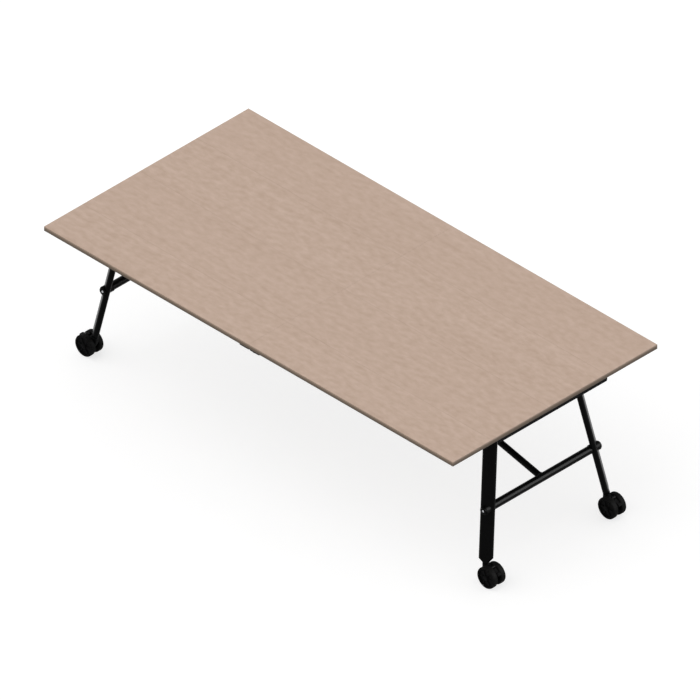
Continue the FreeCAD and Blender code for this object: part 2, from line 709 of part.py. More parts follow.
def latch_guide():
    block = box("sizes.guide_length", "2 * sizes.latch_half_width", "sizes.latch_depth",
                "sizes.guide_inset", f"{LATCH_Y} - sizes.latch_half_width", LATCH_Z)
    half = "(sizes.bolt_half_width + sizes.bolt_play)"
    way = box("sizes.guide_length", f"2 * {half}", "sizes.bolt_thickness + 2 * sizes.bolt_play",
              "sizes.guide_inset", f"{LATCH_Y} - {half}", f"{BOLT_Z} - sizes.bolt_play")
    slot_half = "(sizes.knob_stem_radius + sizes.bolt_play)"
    slot = box(f"sizes.bolt_travel + 2 * {slot_half}", f"2 * {slot_half}", "sizes.latch_floor",
               f"{KNOB_X} - sizes.bolt_travel - {slot_half}", f"{LATCH_Y} - {slot_half}", LATCH_Z)
    return cut(block, way, slot, *screw_holes(guide_sites))


def latch_bolt():
    bar = box("sizes.bolt_length", "2 * sizes.bolt_half_width", "sizes.bolt_thickness",
              "sizes.bolt_nose_inset", f"{LATCH_Y} - sizes.bolt_half_width", BOLT_Z)
    knob_z = f"({LATCH_Z} - sizes.knob_gap - sizes.knob_thickness)"
    stem = rod_z("sizes.knob_stem_radius", f"{BOLT_Z} - {knob_z}", KNOB_X, LATCH_Y, knob_z)
    knob = rod_z("sizes.knob_radius", "sizes.knob_thickness", KNOB_X, LATCH_Y, knob_z)
    return fuse(bar, stem, knob)


def latch_keeper():
    block = box("sizes.keeper_length", "2 * sizes.latch_half_width", "sizes.latch_depth",
                "-sizes.keeper_inset - sizes.keeper_length", f"{LATCH_Y} - sizes.latch_half_width", LATCH_Z)
    half = "(sizes.bolt_half_width + 2 * sizes.bolt_play)"
    slot = box("sizes.keeper_slot_depth", f"2 * {half}", "sizes.bolt_thickness + 4 * sizes.bolt_play",
               "-sizes.keeper_inset - sizes.keeper_slot_depth", f"{LATCH_Y} - {half}",
               f"{BOLT_Z} - 2 * sizes.bolt_play")
    return cut(block, slot, *screw_holes(keeper_sites))


piece("latch_guide", latch_guide())
piece("latch_bolt", latch_bolt())
piece("latch_keeper", latch_keeper())


# Half tops with their screws and edge bands
def half_turned(sites):
    return [(f"(-{x})", f"(-{y})", seat) for x, y, seat in sites]


frame_sites = side_sites + end_sites + centre_sites + bracket_sites + saddle_sites
right_sites = frame_sites + hinge_screws("") + guide_sites
left_sites = half_turned(frame_sites) + hinge_screws("-") + keeper_sites


def half_top(x, sites):
    """Board of one half, drilled from below for its screws."""
    length = f"({HALF_LENGTH} - sizes.edge_band - {SEAM})"
    half = f"({HALF_WIDTH} - sizes.edge_band)"
    board = box(length, f"2 * {half}", "sizes.panel_thickness", x, f"-{half}", UNDERSIDE)
    return cut(board, *screw_holes(sites))


piece("half_top_right", half_top(SEAM, right_sites))
piece("half_top_left", half_top(f"sizes.edge_band - {HALF_LENGTH}", left_sites))
piece("screws_right", screws(right_sites))
piece("screws_left", screws(left_sites))


def edge_bands():
    """Strips glued to the end and to both long edges of the right half, with eased outer corners."""
    thick = "sizes.panel_thickness"
    inner_y = f"({HALF_WIDTH} - sizes.edge_band)"
    long_strip = box(f"{HALF_LENGTH} - {SEAM}", "sizes.edge_band", thick, SEAM, inner_y, UNDERSIDE)
    outer_y = number(HALF_WIDTH)
    along = lambda edge, middle: abs(middle.y - outer_y) < 0.01 and edge.BoundBox.XLength > 1
    long_strip = rounded(long_strip, "sizes.edge_round", along)
    end_strip = box("sizes.edge_band", f"2 * {inner_y}", thick, f"{HALF_LENGTH} - sizes.edge_band",
                    f"-{inner_y}", UNDERSIDE)
    outer_x = number(HALF_LENGTH)
    across = lambda edge, middle: abs(middle.x - outer_x) < 0.01 and edge.BoundBox.YLength > 1
    end_strip = rounded(end_strip, "sizes.edge_round", across)
    return group(end_strip, long_strip, mirrored(long_strip))


ends("edge_bands", edge_bands())


# Casters, made at the right rear corner with the wheels trailing outwards
def caster_stem():
    length = f"{SOCKET_Z} + sizes.stem_grip - sizes.stem_bottom"
    pin = rod_z("sizes.stem_radius", length, STEM_X, STEM_Y, "sizes.stem_bottom")
    collar = rod_z("sizes.collar_radius", "sizes.collar_thickness", STEM_X, STEM_Y, COLLAR_Z)
    return fuse(pin, collar)


def caster_body():
    """Disc and stem block between the wheels, a round head, and a boss with trunnions for the pedal."""
    half = "(sizes.wheel_gap / 2 - sizes.caster_side_play)"
    low_y = f"({STEM_Y} - {half})"
    disc = rod_y("sizes.caster_disc_radius", f"2 * {half}", WHEEL_X, low_y, "sizes.wheel_radius")
    block = box("sizes.stem_block_reach + sizes.caster_trail", f"2 * {half}",
                "sizes.caster_head_bottom - sizes.wheel_radius", f"{STEM_X} - sizes.stem_block_reach", low_y,
                "sizes.wheel_radius")
    head = rod_z("sizes.caster_head_radius", "sizes.caster_height - sizes.caster_head_bottom", STEM_X, STEM_Y,
                 "sizes.caster_head_bottom")
    pivot_x = f"({WHEEL_X} + sizes.pedal_pivot_reach)"
    pivot_z = "(sizes.wheel_radius + sizes.pedal_pivot_rise)"
    boss_y = f"({STEM_Y} - sizes.pedal_boss_half_width)"
    boss = rod_y("sizes.pedal_boss_radius", "2 * sizes.pedal_boss_half_width", pivot_x, boss_y, pivot_z)
    web = box("sizes.pedal_pivot_reach", "2 * sizes.pedal_boss_half_width", "sizes.pedal_pivot_rise",
              WHEEL_X, boss_y, "sizes.wheel_radius")
    trunnions = rod_y("sizes.pedal_trunnion_radius", "2 * sizes.pedal_half_width", pivot_x,
                      f"{STEM_Y} - sizes.pedal_half_width", pivot_z)
    stem_bore = rod_z("sizes.stem_radius + sizes.running_clearance",
                      "sizes.caster_height - sizes.stem_bottom + sizes.axle_end_play", STEM_X, STEM_Y,
                      "sizes.stem_bottom - sizes.axle_end_play")
    axle_bore = rod_y("sizes.axle_radius + sizes.running_clearance", f"2 * {half}", WHEEL_X, low_y,
                      "sizes.wheel_radius")
    return cut(fuse(disc, block, head, boss, web, trunnions), stem_bore, axle_bore)


AXLE_HALF = ("(sizes.wheel_gap / 2 + sizes.wheel_width - sizes.hub_skin - sizes.dish_depth"
             " - sizes.axle_end_play)")


def wheel(side):
    """Moulded wheel on one side of the caster, dished round its hub, with a blind bore for the axle."""
    inner = f"({STEM_Y} {side} sizes.wheel_gap / 2)"
    outer = f"({inner} {side} sizes.wheel_width)"
    low, high = (inner, outer) if side == "+" else (outer, inner)
    disc = rod_y("sizes.wheel_radius", "sizes.wheel_width", WHEEL_X, low, "sizes.wheel_radius")
    disc = rounded(disc, "sizes.wheel_round", lambda edge, middle: edge.Closed)
    dish_y = f"({high} - sizes.dish_depth)" if side == "+" else low
    ring = rod_y("sizes.dish_radius", "sizes.dish_depth", WHEEL_X, dish_y, "sizes.wheel_radius")
    hub = rod_y("sizes.hub_radius", "sizes.dish_depth", WHEEL_X, dish_y, "sizes.wheel_radius")
    bore_length = f"({AXLE_HALF} + sizes.axle_end_play - sizes.wheel_gap / 2)"
    bore_y = inner if side == "+" else f"({inner} - {bore_length})"
    bore = rod_y("sizes.axle_radius + sizes.running_clearance", bore_length, WHEEL_X, bore_y,
                 "sizes.wheel_radius")
    return cut(disc, cut(ring, hub), bore)


def brake_pedal():
    """Forked lever on the trunnions, with a raised pad at its tip; X runs down the lever from the pivot."""
    half = "sizes.pedal_half_width"
    thick = "sizes.pedal_thickness"
    tongue = box("sizes.pedal_length - sizes.pedal_start", f"2 * {half}", thick,
                 "sizes.pedal_start", f"-{half}", f"-{thick} / 2")
    pad = box("sizes.pedal_pad_length", f"2 * {half}", f"{thick} + sizes.pedal_pad_height",
              "sizes.pedal_length - sizes.pedal_pad_length", f"-{half}", f"-{thick} / 2")
    cheek_y = "(sizes.pedal_boss_half_width + sizes.pedal_play)"
    solids = [tongue, pad]
    for y in (cheek_y, f"(-{half})"):
        width = f"{half} - {cheek_y}"
        solids.append(rod_y("sizes.pedal_cheek_radius", width, 0, y, 0))
        solids.append(box("sizes.pedal_start", width, thick, 0, y, f"-{thick} / 2"))
    bore = rod_y("sizes.pedal_trunnion_radius + sizes.running_clearance", f"2 * {half}", 0, f"-{half}", 0)
    lever = cut(fuse(*solids), bore)
    lever.Placement = Placement(Vector(), Rotation(Vector(0, 1, 0), number("sizes.pedal_tilt")))
    return bind(lever, x=f"{WHEEL_X} + sizes.pedal_pivot_reach", y=STEM_Y,
                z="sizes.wheel_radius + sizes.pedal_pivot_rise")


rear_stem = caster_stem()
ends("caster_stems", group(rear_stem, mirrored(rear_stem)))
corners("caster_body", caster_body())
corners("caster_axle", rod_y("sizes.axle_radius", f"2 * {AXLE_HALF}", WHEEL_X, f"{STEM_Y} - {AXLE_HALF}",
                             "sizes.wheel_radius"))
corners("wheel", wheel("+"), "_outer")
corners("wheel", wheel("-"), "_inner")
corners("brake_pedal", brake_pedal())

# Check and write every sub-part
doc.recompute()
faults = [item.Name for item in doc.Objects if "Invalid" in item.State or "Error" in item.State]
for item in PIECES:
    if item.Shape.isNull() or not item.Shape.isValid() or not item.Shape.Solids:
        faults.append(item.Label)
if faults:
    raise RuntimeError(f"not sound: {faults}")
os.makedirs("parts", exist_ok=True)
for item in PIECES:
    item.Shape.exportStep(f"parts/{item.Label}.step")
print(f"{len(PIECES)} sub-parts, {sum(len(item.Shape.Solids) for item in PIECES)} solids")
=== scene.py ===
# %% [markdown]
# # A folding conference table, dressed
# The table has a long veneered top in two hinged halves, two black leg frames on twin-wheel casters, and
# a pair of crossing struts underneath. The construction comes in as a fixed frame with every piece at its
# real size. This lesson gives it its finishes, and adds the moulded and machined detail that the plain
# construction leaves out.

# %% Load the frame
import json

import bmesh
import bpy
import numpy as np
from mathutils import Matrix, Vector


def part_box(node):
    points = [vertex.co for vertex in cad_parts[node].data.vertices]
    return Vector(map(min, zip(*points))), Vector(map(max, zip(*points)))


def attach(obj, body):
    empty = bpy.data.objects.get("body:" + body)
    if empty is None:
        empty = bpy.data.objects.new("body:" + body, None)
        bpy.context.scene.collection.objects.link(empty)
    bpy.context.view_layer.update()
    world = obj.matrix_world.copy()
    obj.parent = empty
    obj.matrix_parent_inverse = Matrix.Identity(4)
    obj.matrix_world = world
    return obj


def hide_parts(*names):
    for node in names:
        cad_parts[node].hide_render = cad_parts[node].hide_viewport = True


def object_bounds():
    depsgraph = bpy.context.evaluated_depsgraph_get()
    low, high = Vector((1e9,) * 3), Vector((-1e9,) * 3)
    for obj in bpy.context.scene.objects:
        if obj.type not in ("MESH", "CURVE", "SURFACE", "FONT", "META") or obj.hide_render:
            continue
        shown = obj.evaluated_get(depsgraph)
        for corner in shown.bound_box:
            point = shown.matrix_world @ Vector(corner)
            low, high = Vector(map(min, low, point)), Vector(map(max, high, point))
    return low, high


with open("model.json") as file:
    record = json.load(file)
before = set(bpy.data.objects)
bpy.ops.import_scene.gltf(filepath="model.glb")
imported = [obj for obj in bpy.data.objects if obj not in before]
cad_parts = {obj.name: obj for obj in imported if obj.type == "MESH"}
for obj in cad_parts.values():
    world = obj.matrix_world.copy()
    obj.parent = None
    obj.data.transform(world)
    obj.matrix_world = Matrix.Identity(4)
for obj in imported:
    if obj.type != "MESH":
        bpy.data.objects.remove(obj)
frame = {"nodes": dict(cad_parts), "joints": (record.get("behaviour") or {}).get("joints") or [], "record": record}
cad_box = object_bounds()
joints = {joint["name"]: joint for joint in frame["joints"]}
slots = {part["node"]: part["material_slot"] for part in frame["record"]["subparts"]}
MM = 0.001
SIDES = ("right", "left")
CORNERS = ("right_front", "right_rear", "left_front", "left_rear")
print(len(frame["nodes"]), "nodes from", tuple(cad_box[0]), "to", tuple(cad_box[1]))

# %% [markdown]
# ## The camera
# The picture is a parallel projection: the two long edges stay parallel, and all three axes have the same
# scale, so it is the isometric view, along the diagonal of a cube. A perspective camera with a long lens
# would come close, but an orthographic one is exact. Its width follows from the length of the table in
# pixels, and its aim from the pixel where the middle of the top lies.

# %% Camera
PICTURE = 700
TOP_MIDDLE_PIXEL = (350.7, 285.4)
PIXELS_PER_METRE = 240.92
CAMERA_DISTANCE = 8
CLIP_DISTANCE = 100
back = np.array([1.0, -1.0, 1.0]) / np.sqrt(3.0)
right = np.array([1.0, 1.0, 0.0]) / np.sqrt(2.0)
up = np.cross(back, right)
top_middle = np.array([0.0, 0.0, cad_box[1].z])
aside = (PICTURE / 2 - TOP_MIDDLE_PIXEL[0]) / PIXELS_PER_METRE
above = (TOP_MIDDLE_PIXEL[1] - PICTURE / 2) / PIXELS_PER_METRE
aim = top_middle + right * aside + up * above
camera = bpy.data.objects.new("camera", bpy.data.cameras.new("camera"))
bpy.context.scene.collection.objects.link(camera)
camera.data.type = "ORTHO"
camera.data.ortho_scale = PICTURE / PIXELS_PER_METRE
camera.data.clip_end = CLIP_DISTANCE
camera.location = Vector(aim + back * CAMERA_DISTANCE)
camera.rotation_mode = "QUATERNION"
camera.rotation_quaternion = Vector(-back).to_track_quat("-Z", "Y")
bpy.context.scene.camera = camera
print("the picture is", round(camera.data.ortho_scale, 3), "m wide")

# %% [markdown]
# ## Small tools for finishes
# Every finish is a Principled shader whose colour, roughness and relief come from a few texture nodes.
# They all read Object coordinates. The frame keeps each piece's place in its mesh, so these are metres in
# the table's own frame, and a grain of 1 mm is written as 1 mm.

# %% Node helpers
# sockets of a Mix node for its share and its two colours, and for the mixed colour
MIX_INPUTS = (0, 6, 7)
MIX_OUTPUT = 2


def feed(tree, socket, value):
    """Sets an input to a number or a colour, or joins it to another node's socket."""
    if isinstance(value, bpy.types.NodeSocket):
        tree.links.new(value, socket)
    else:
        socket.default_value = value


def add(tree, kind, *values, **named):
    """A node with its inputs in order or by name. A name in small letters is a setting of the node."""
    made = tree.nodes.new(kind)
    inputs = dict(enumerate(values))
    for key, value in named.items():
        if key.islower():
            setattr(made, key, value)
        else:
            inputs[key.replace("_", " ")] = value
    for key, value in inputs.items():
        feed(tree, made.inputs[key], value)
    return made


def maths(tree, operation, *values):
    """One step of arithmetic."""
    return add(tree, "ShaderNodeMath", *values, operation=operation).outputs[0]


def between(tree, value, span, onto=(0.0, 1.0)):
    """Carries a value from one span onto another, held at both ends."""
    return add(tree, "ShaderNodeMapRange", value, *span, *onto).outputs[0]


def weigh(tree, share, first, second):
    """The mean of two values, where the first counts by its share."""
    return maths(tree, "MULTIPLY_ADD", first, share, maths(tree, "MULTIPLY", second, 1 - share))


def blend(tree, share, first, second):
    """Mixes two colours."""
    made = add(tree, "ShaderNodeMix", data_type="RGBA")
    for index, value in zip(MIX_INPUTS, (share, first, second)):
        feed(tree, made.inputs[index], value)
    return made.outputs[MIX_OUTPUT]


def speckle(tree, colour, value, span, strength, tone):
    """Blends a tone into a colour where a value is high in its span, up to a strength."""
    return blend(tree, between(tree, value, span, (0.0, strength)), colour, tone)


def noise(tree, place, size, detail=3.0, rough=0.5):
    """Cloudy noise with blobs of that size in metres, one length or three."""
    scale = (1 / np.broadcast_to(size, 3)).tolist()
    scaled = add(tree, "ShaderNodeMapping", place, Scale=scale).outputs[0]
    made = add(tree, "ShaderNodeTexNoise", scaled, Scale=1.0, Detail=detail, Roughness=rough)
    return made.outputs[0]


def srgb(red, green, blue):
    """A colour as an image editor shows it, 0 to 255, made linear by the sRGB curve."""
    level = np.array([red, green, blue]) / 255
    linear = np.where(level <= 0.04045, level / 12.92, ((level + 0.055) / 1.055) ** 2.4)
    return (*linear.tolist(), 1.0)


def grey(level):
    """A grey as an image editor shows it, 0 to 255."""
    return srgb(level, level, level)


def start_finish(name, **settings):
    """A new material: its node tree, its shader, and the Object coordinates."""
    material = bpy.data.materials.new(name)
    material.use_nodes = True
    tree = material.node_tree
    shader = tree.nodes["Principled BSDF"]
    for key, value in settings.items():
        shader.inputs[key.replace("_", " ")].default_value = value
    place = add(tree, "ShaderNodeTexCoord").outputs["Object"]
    return material, tree, shader, place


def complete(tree, shader, colour, rough, height, depth, strength):
    """Joins colour and roughness to the shader, and a height of 0 to 1 as a relief of a depth in metres."""
    bump = add(tree, "ShaderNodeBump", Strength=strength, Distance=depth, Height=height)
    for name, value in (("Base Color", colour), ("Roughness", rough), ("Normal", bump.outputs[0])):
        feed(tree, shader.inputs[name], value)


# %% [markdown]
# ## Veneer
# The top is a pinkish beige veneer, laid in leaves about a third of a metre wide, with the grain along the
# table. The grain is three noises stretched along X: long soft bands, short flecks, and fine dark pores.
# Each leaf takes its own place in the noise, so the figure breaks at a joint as it does between two leaves
# of real veneer. The underside has a plainer backing sheet and the seam faces a brown strip. The normal in
# the board's own frame tells them apart, and it stays with the board when the table folds.

# %% Veneer
# leaves across and their shift along the table, in metres
LEAF_WIDTH = 0.335
LEAF_START = -0.372
LEAF_SHIFT = 0.83
# shares and strengths of a tone, 0 to 1
LEAF_STRENGTH = 0.22
FLECK_SHARE = 0.65
PORE_STRENGTH = 0.40
PORE_DEPTH = -0.6
JOINT_STRENGTH = 0.34
# half widths of a joint, dark and faded, as shares of a leaf
JOINT_SPAN = (0.0012, 0.0040)
# part of a normal along an axis, from which a face counts as facing that way
FACING = (0.6, 0.7)
NOISE_SPAN = (0.2, 0.8)


def make_veneer():
    material, tree, shader, place = start_finish("veneer", Specular_IOR_Level=0.35)
    part = add(tree, "ShaderNodeSeparateXYZ", place)
    along, across = part.outputs[0], part.outputs[1]
    leaves = maths(tree, "DIVIDE", maths(tree, "SUBTRACT", across, LEAF_START), LEAF_WIDTH)
    leaf = maths(tree, "FLOOR", leaves)
    shifted = maths(tree, "MULTIPLY_ADD", leaf, LEAF_SHIFT, along)
    ground = add(tree, "ShaderNodeCombineXYZ", shifted, across, leaf).outputs[0]
    bands = noise(tree, ground, size=(1.1, 0.036, 1.0), detail=4.0)
    flecks = noise(tree, ground, size=(0.045, 0.024, 1.0), detail=2.0, rough=0.45)
    pores = noise(tree, ground, size=(0.022, 0.0011, 1.0), detail=2.0)
    tone = weigh(tree, FLECK_SHARE, flecks, bands)
    light = between(tree, tone, span=(0.32, 0.68))
    wood = blend(tree, light, srgb(184, 158, 139), srgb(201, 176, 159))
    pore = between(tree, pores, span=(0.60, 0.74))
    wood = blend(tree, maths(tree, "MULTIPLY", pore, PORE_STRENGTH), wood, srgb(158, 133, 117))
    leaf_tone = add(tree, "ShaderNodeTexWhiteNoise", W=leaf, noise_dimensions="1D").outputs[0]
    wood = blend(tree, maths(tree, "MULTIPLY", leaf_tone, LEAF_STRENGTH), wood, srgb(187, 161, 143))
    from_joint = maths(tree, "PINGPONG", leaves, 0.5)
    joint = between(tree, from_joint, JOINT_SPAN, onto=(JOINT_STRENGTH, 0.0))
    wood = blend(tree, joint, wood, srgb(140, 115, 99))
    mottle = noise(tree, place, size=4 * MM, detail=4.0)
    backing = blend(tree, mottle, srgb(168, 156, 146), srgb(181, 170, 160))
    normal = add(tree, "ShaderNodeTexCoord").outputs["Normal"]
    facing = add(tree, "ShaderNodeSeparateXYZ", normal)
    down = maths(tree, "MULTIPLY", facing.outputs[2], -1.0)
    endwise = maths(tree, "ABSOLUTE", facing.outputs[0])
    wood = blend(tree, between(tree, down, FACING), wood, backing)
    wood = blend(tree, between(tree, endwise, FACING), wood, srgb(112, 91, 76))
    rough = between(tree, flecks, NOISE_SPAN, onto=(0.44, 0.58))
    height = maths(tree, "MULTIPLY_ADD", pore, PORE_DEPTH, flecks)
    complete(tree, shader, wood, rough, height, depth=0.15 * MM, strength=0.5)
    return material


# %% [markdown]
# ## Edge strip
# The edges of the top carry a thin strip, darker than the face. Its colour is also painted darker towards
# the underside and lighter towards its top: painted shade, where light falls away under the board's edge.
# Its streaks run along the edge, which is X on the long sides and Y at the ends. One noise that is long in
# both X and Y and thin in Z serves both.

# %% Edge strip
STREAK_SHARE = 0.7
STREAK_TONE = 0.3
STRIP_TURN = 0.6


def make_edge_band():
    material, tree, shader, place = start_finish("edge_band", Specular_IOR_Level=0.2)
    low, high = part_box("edge_bands_right")
    streaks = noise(tree, place, size=(0.16, 0.16, 0.0016), detail=4.0, rough=0.6)
    broad = noise(tree, place, size=(0.5, 0.5, 0.006), detail=2.0)
    tone = weigh(tree, STREAK_SHARE, streaks, broad)
    height = add(tree, "ShaderNodeSeparateXYZ", place).outputs[2]
    # painted shade: the strip's colour runs from dark at its underside to light at its top, by height
    rise = between(tree, height, span=(low.z, high.z))
    lowered = maths(tree, "SUBTRACT", rise, STREAK_TONE / 2)
    streaks_and_painted_shade = maths(tree, "MULTIPLY_ADD", tone, STREAK_TONE, lowered)
    colour = blend(tree, between(tree, streaks_and_painted_shade, (0.0, STRIP_TURN)), srgb(82, 71, 60), srgb(124, 107, 91))
    colour = blend(tree, between(tree, streaks_and_painted_shade, (STRIP_TURN, 1.0)), colour, srgb(180, 157, 140))
    rough = between(tree, streaks, NOISE_SPAN, onto=(0.36, 0.50))
    complete(tree, shader, colour, rough, streaks, depth=0.1 * MM, strength=0.4)
    return material


# %% [markdown]
# ## Black coat, black plastic and bright steel
# The frame is steel tube with a black powder coat. Powder flows into a skin with a faint orange-peel relief
# about a millimetre across. The moulded parts have a finer, sharper grain and are a little duller. The crests
# of the peel and of the grain are painted a little lighter, a painted sheen on the relief. The
# wheels' treads, marked by an attribute of their own, are greyer and duller from the floor. Screws, pins
# and stems are zinc plated: a bright metal with a cloudy bloom and fine drawn scratches.

# %% Coated steel, plastic and zinc
SCUFF_HEIGHT = 0.8


def make_black_steel():
    material, tree, shader, place = start_finish("black_steel", Specular_IOR_Level=0.03)
    peel_relief_and_sheen = noise(tree, place, size=1.1 * MM, detail=2.0)
    cloud = noise(tree, place, size=60 * MM)
    dust = noise(tree, place, size=3.5 * MM, detail=5.0, rough=0.65)
    colour = blend(tree, cloud, grey(2), grey(7))
    # painted sheen: the crests of the orange-peel relief are painted lighter
    colour = speckle(tree, colour, peel_relief_and_sheen, span=(0.48, 0.68), strength=0.55, tone=srgb(25, 25, 26))
    colour = speckle(tree, colour, dust, span=(0.60, 0.75), strength=0.6, tone=grey(36))
    rough = between(tree, cloud, span=(0.25, 0.75), onto=(0.24, 0.32))
    complete(tree, shader, colour, rough, peel_relief_and_sheen, depth=0.12 * MM, strength=0.55)
    return material


def make_black_plastic():
    material, tree, shader, place = start_finish("black_plastic", Specular_IOR_Level=0.03)
    grain_relief_and_sheen = noise(tree, place, size=0.7 * MM)
    cloud = noise(tree, place, size=30 * MM)
    colour = blend(tree, cloud, grey(5), grey(10))
    # painted sheen: the crests of the moulded grain are painted lighter
    colour = speckle(tree, colour, grain_relief_and_sheen, span=(0.5, 0.7), strength=0.5, tone=grey(26))
    rough = between(tree, grain_relief_and_sheen, NOISE_SPAN, onto=(0.33, 0.47))
    complete(tree, shader, colour, rough, grain_relief_and_sheen, depth=0.09 * MM, strength=0.6)
    return material


def make_wheel():
    material, tree, shader, place = start_finish("wheel", Specular_IOR_Level=0.02)
    tread = add(tree, "ShaderNodeAttribute", attribute_name="tread").outputs["Fac"]
    grain_relief_and_sheen = noise(tree, place, size=0.8 * MM)
    scuff = noise(tree, place, size=(0.006, 0.012, 0.006), detail=5.0, rough=0.65)
    worn = maths(tree, "MULTIPLY", tread, between(tree, scuff, span=(0.35, 0.75)))
    colour = blend(tree, tread, grey(5), grey(9))
    # painted sheen: the crests of the moulded grain are painted lighter
    colour = speckle(tree, colour, grain_relief_and_sheen, span=(0.5, 0.7), strength=0.4, tone=grey(22))
    colour = blend(tree, worn, colour, srgb(30, 30, 29))
    rough = between(tree, tread, span=(0.0, 1.0), onto=(0.38, 0.62))
    height = maths(tree, "MULTIPLY_ADD", worn, SCUFF_HEIGHT, grain_relief_and_sheen)
    complete(tree, shader, colour, rough, height, depth=0.09 * MM, strength=0.6)
    return material


def make_steel():
    material, tree, shader, place = start_finish("steel", Metallic=1.0)
    bloom = noise(tree, place, size=5 * MM, detail=4.0)
    scratch = noise(tree, place, size=(0.0004, 0.008, 0.0004), detail=2.0)
    colour = blend(tree, bloom, srgb(168, 170, 174), srgb(206, 207, 209))
    rough = between(tree, scratch, NOISE_SPAN, onto=(0.24, 0.42))
    complete(tree, shader, colour, rough, scratch, depth=0.04 * MM, strength=0.4)
    return material


finishes = {
    "veneer": make_veneer(),
    "edge_band": make_edge_band(),
    "black_steel": make_black_steel(),
    "black_plastic": make_black_plastic(),
    "wheel": make_wheel(),
    "steel": make_steel(),
}
for node, item in frame["nodes"].items():
    item.data.materials.clear()
    item.data.materials.append(finishes[slots[node]])
print(len(finishes), "finishes on", len(frame["nodes"]), "nodes")

# %% [markdown]
# ## Surfaces from numbers
# The new pieces are grids of points. A grid comes from a formula in two parameters, such as a profile
# carried round an axis, or a section carried along a path, and all its points are worked out at once as one
# array. A row that closes on itself ends where it began, and a pole is a row with all its points in one
# place: merging equal points then closes both.

# %% Surface helpers
MERGE_DISTANCE = 1e-6
FLAT_DISTANCE = 1e-7
BEND_LIMIT = 0.45
# a direction that lies along no axis
SLANTED = (0.31, 0.23, 0.92)


def lay(name, grids, body, slot, replaced=(), crease=38):
    """One piece from grids of points: joined into a mesh, closed at seams and poles, and set on its body.
    Edges sharper than the crease, in degrees, stay sharp."""
    points, quads, count = [], [], 0
    for grid in grids:
        rows, columns = grid.shape[:2]
        index = count + np.arange(rows * columns).reshape(rows, columns)
        corners = [index[:-1, :-1], index[:-1, 1:], index[1:, 1:], index[1:, :-1]]
        quads.append(np.stack(corners, -1).reshape(-1, 4))
        points.append(grid.reshape(-1, 3))
        count += rows * columns
    mesh = bpy.data.meshes.new(name)
    mesh.from_pydata(np.concatenate(points).tolist(), [], np.concatenate(quads).tolist())
    shell = bmesh.new()
    shell.from_mesh(mesh)
    bmesh.ops.remove_doubles(shell, verts=shell.verts, dist=MERGE_DISTANCE)
    bmesh.ops.dissolve_degenerate(shell, edges=shell.edges, dist=FLAT_DISTANCE)
    bmesh.ops.recalc_face_normals(shell, faces=shell.faces)
    shell.to_mesh(mesh)
    shell.free()
    mesh.shade_smooth()
    mesh.set_sharp_from_angle(angle=np.radians(crease))
    mesh.materials.append(finishes[slot])
    piece = bpy.data.objects.new(name, mesh)
    bpy.context.scene.collection.objects.link(piece)
    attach(piece, body)
    if replaced:
        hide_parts(*replaced)
    return piece


def ramp(value, start, end):
    """0 up to the start, 1 from the end on, and a straight line between."""
    return np.clip((value - start) / (end - start), 0, 1)


def soften(corners, reach, steps=5):
    """A line through corner points, where each inner corner is a bend: a quadratic curve from reach before
    it to reach after it, pulled towards the corner."""
    corners = np.asarray(corners, float)
    middle = corners[1:-1]
    before, after = corners[:-2] - middle, corners[2:] - middle
    far_before = np.linalg.norm(before, axis=1, keepdims=True)
    far_after = np.linalg.norm(after, axis=1, keepdims=True)
    start = (middle + before / far_before * np.minimum(reach, far_before * BEND_LIMIT))[:, None]
    end = (middle + after / far_after * np.minimum(reach, far_after * BEND_LIMIT))[:, None]
    share = np.linspace(0, 1, steps)[None, :, None]
    bend = (1 - share) ** 2 * start + 2 * share * (1 - share) * middle[:, None] + share**2 * end
    return np.concatenate([corners[:1], bend.reshape(-1, corners.shape[1]), corners[-1:]])


def carry_round(profile, centre, axis, turns=48, ripple=None):
    """Points (radius, height) of a profile, carried round an axis: centre + height x axis + radius x spoke,
    where the spokes are the unit circle square to the axis. A ripple scales or lifts them by angle."""
    axis = np.asarray(axis, float)
    spoke = np.cross(axis, SLANTED) if abs(axis[1]) < 0.5 else np.array([1.0, 0.0, 0.0])
    spoke /= np.linalg.norm(spoke)
    other = np.cross(axis, spoke)
    angle = np.linspace(0, 2 * np.pi, turns + 1)
    radius, height = np.asarray(profile, float).T[:, :, None] * np.ones(turns + 1)
    if ripple is not None:
        radius, height = ripple(radius, height, angle[None, :])
    circle = np.cos(angle)[:, None] * spoke + np.sin(angle)[:, None] * other
    grid = np.asarray(centre, float) + height[..., None] * axis + radius[..., None] * circle
    grid[:, -1] = grid[:, 0]
    return grid


def hexagon(angle):
    """How far a hexagon with its flats at 1 reaches: 1 over the cosine of the angle within its sixth."""
    return 1 / np.cos(np.mod(angle, np.pi / 3) - np.pi / 6)


def oval(half_x, half_y, power, turns=48):
    """A ring between an ellipse, power 2, and a rectangle: |x / a| ^ power + |y / b| ^ power = 1. Sizes may
    be arrays, one ring for each."""
    angle = np.linspace(0, 2 * np.pi, turns + 1)
    sizes = (half_x, half_y, power)
    half_x, half_y, power = (np.atleast_1d(np.asarray(size, float))[:, None] for size in sizes)
    cosine, sine = np.cos(angle), np.sin(angle)
    x = half_x * np.sign(cosine) * np.abs(cosine) ** (2 / power)
    y = half_y * np.sign(sine) * np.abs(sine) ** (2 / power)
    ring = np.stack([x, y], -1)
    ring[:, -1] = ring[:, 0]
    return ring


def with_poles(grid):
    """A stack of rings, closed by a pole in the middle of its first ring and of its last."""
    poles = grid[[0, -1]].mean(1, keepdims=True) * np.ones((1, grid.shape[1], 1))
    return np.concatenate([poles[:1], grid, poles[1:]])


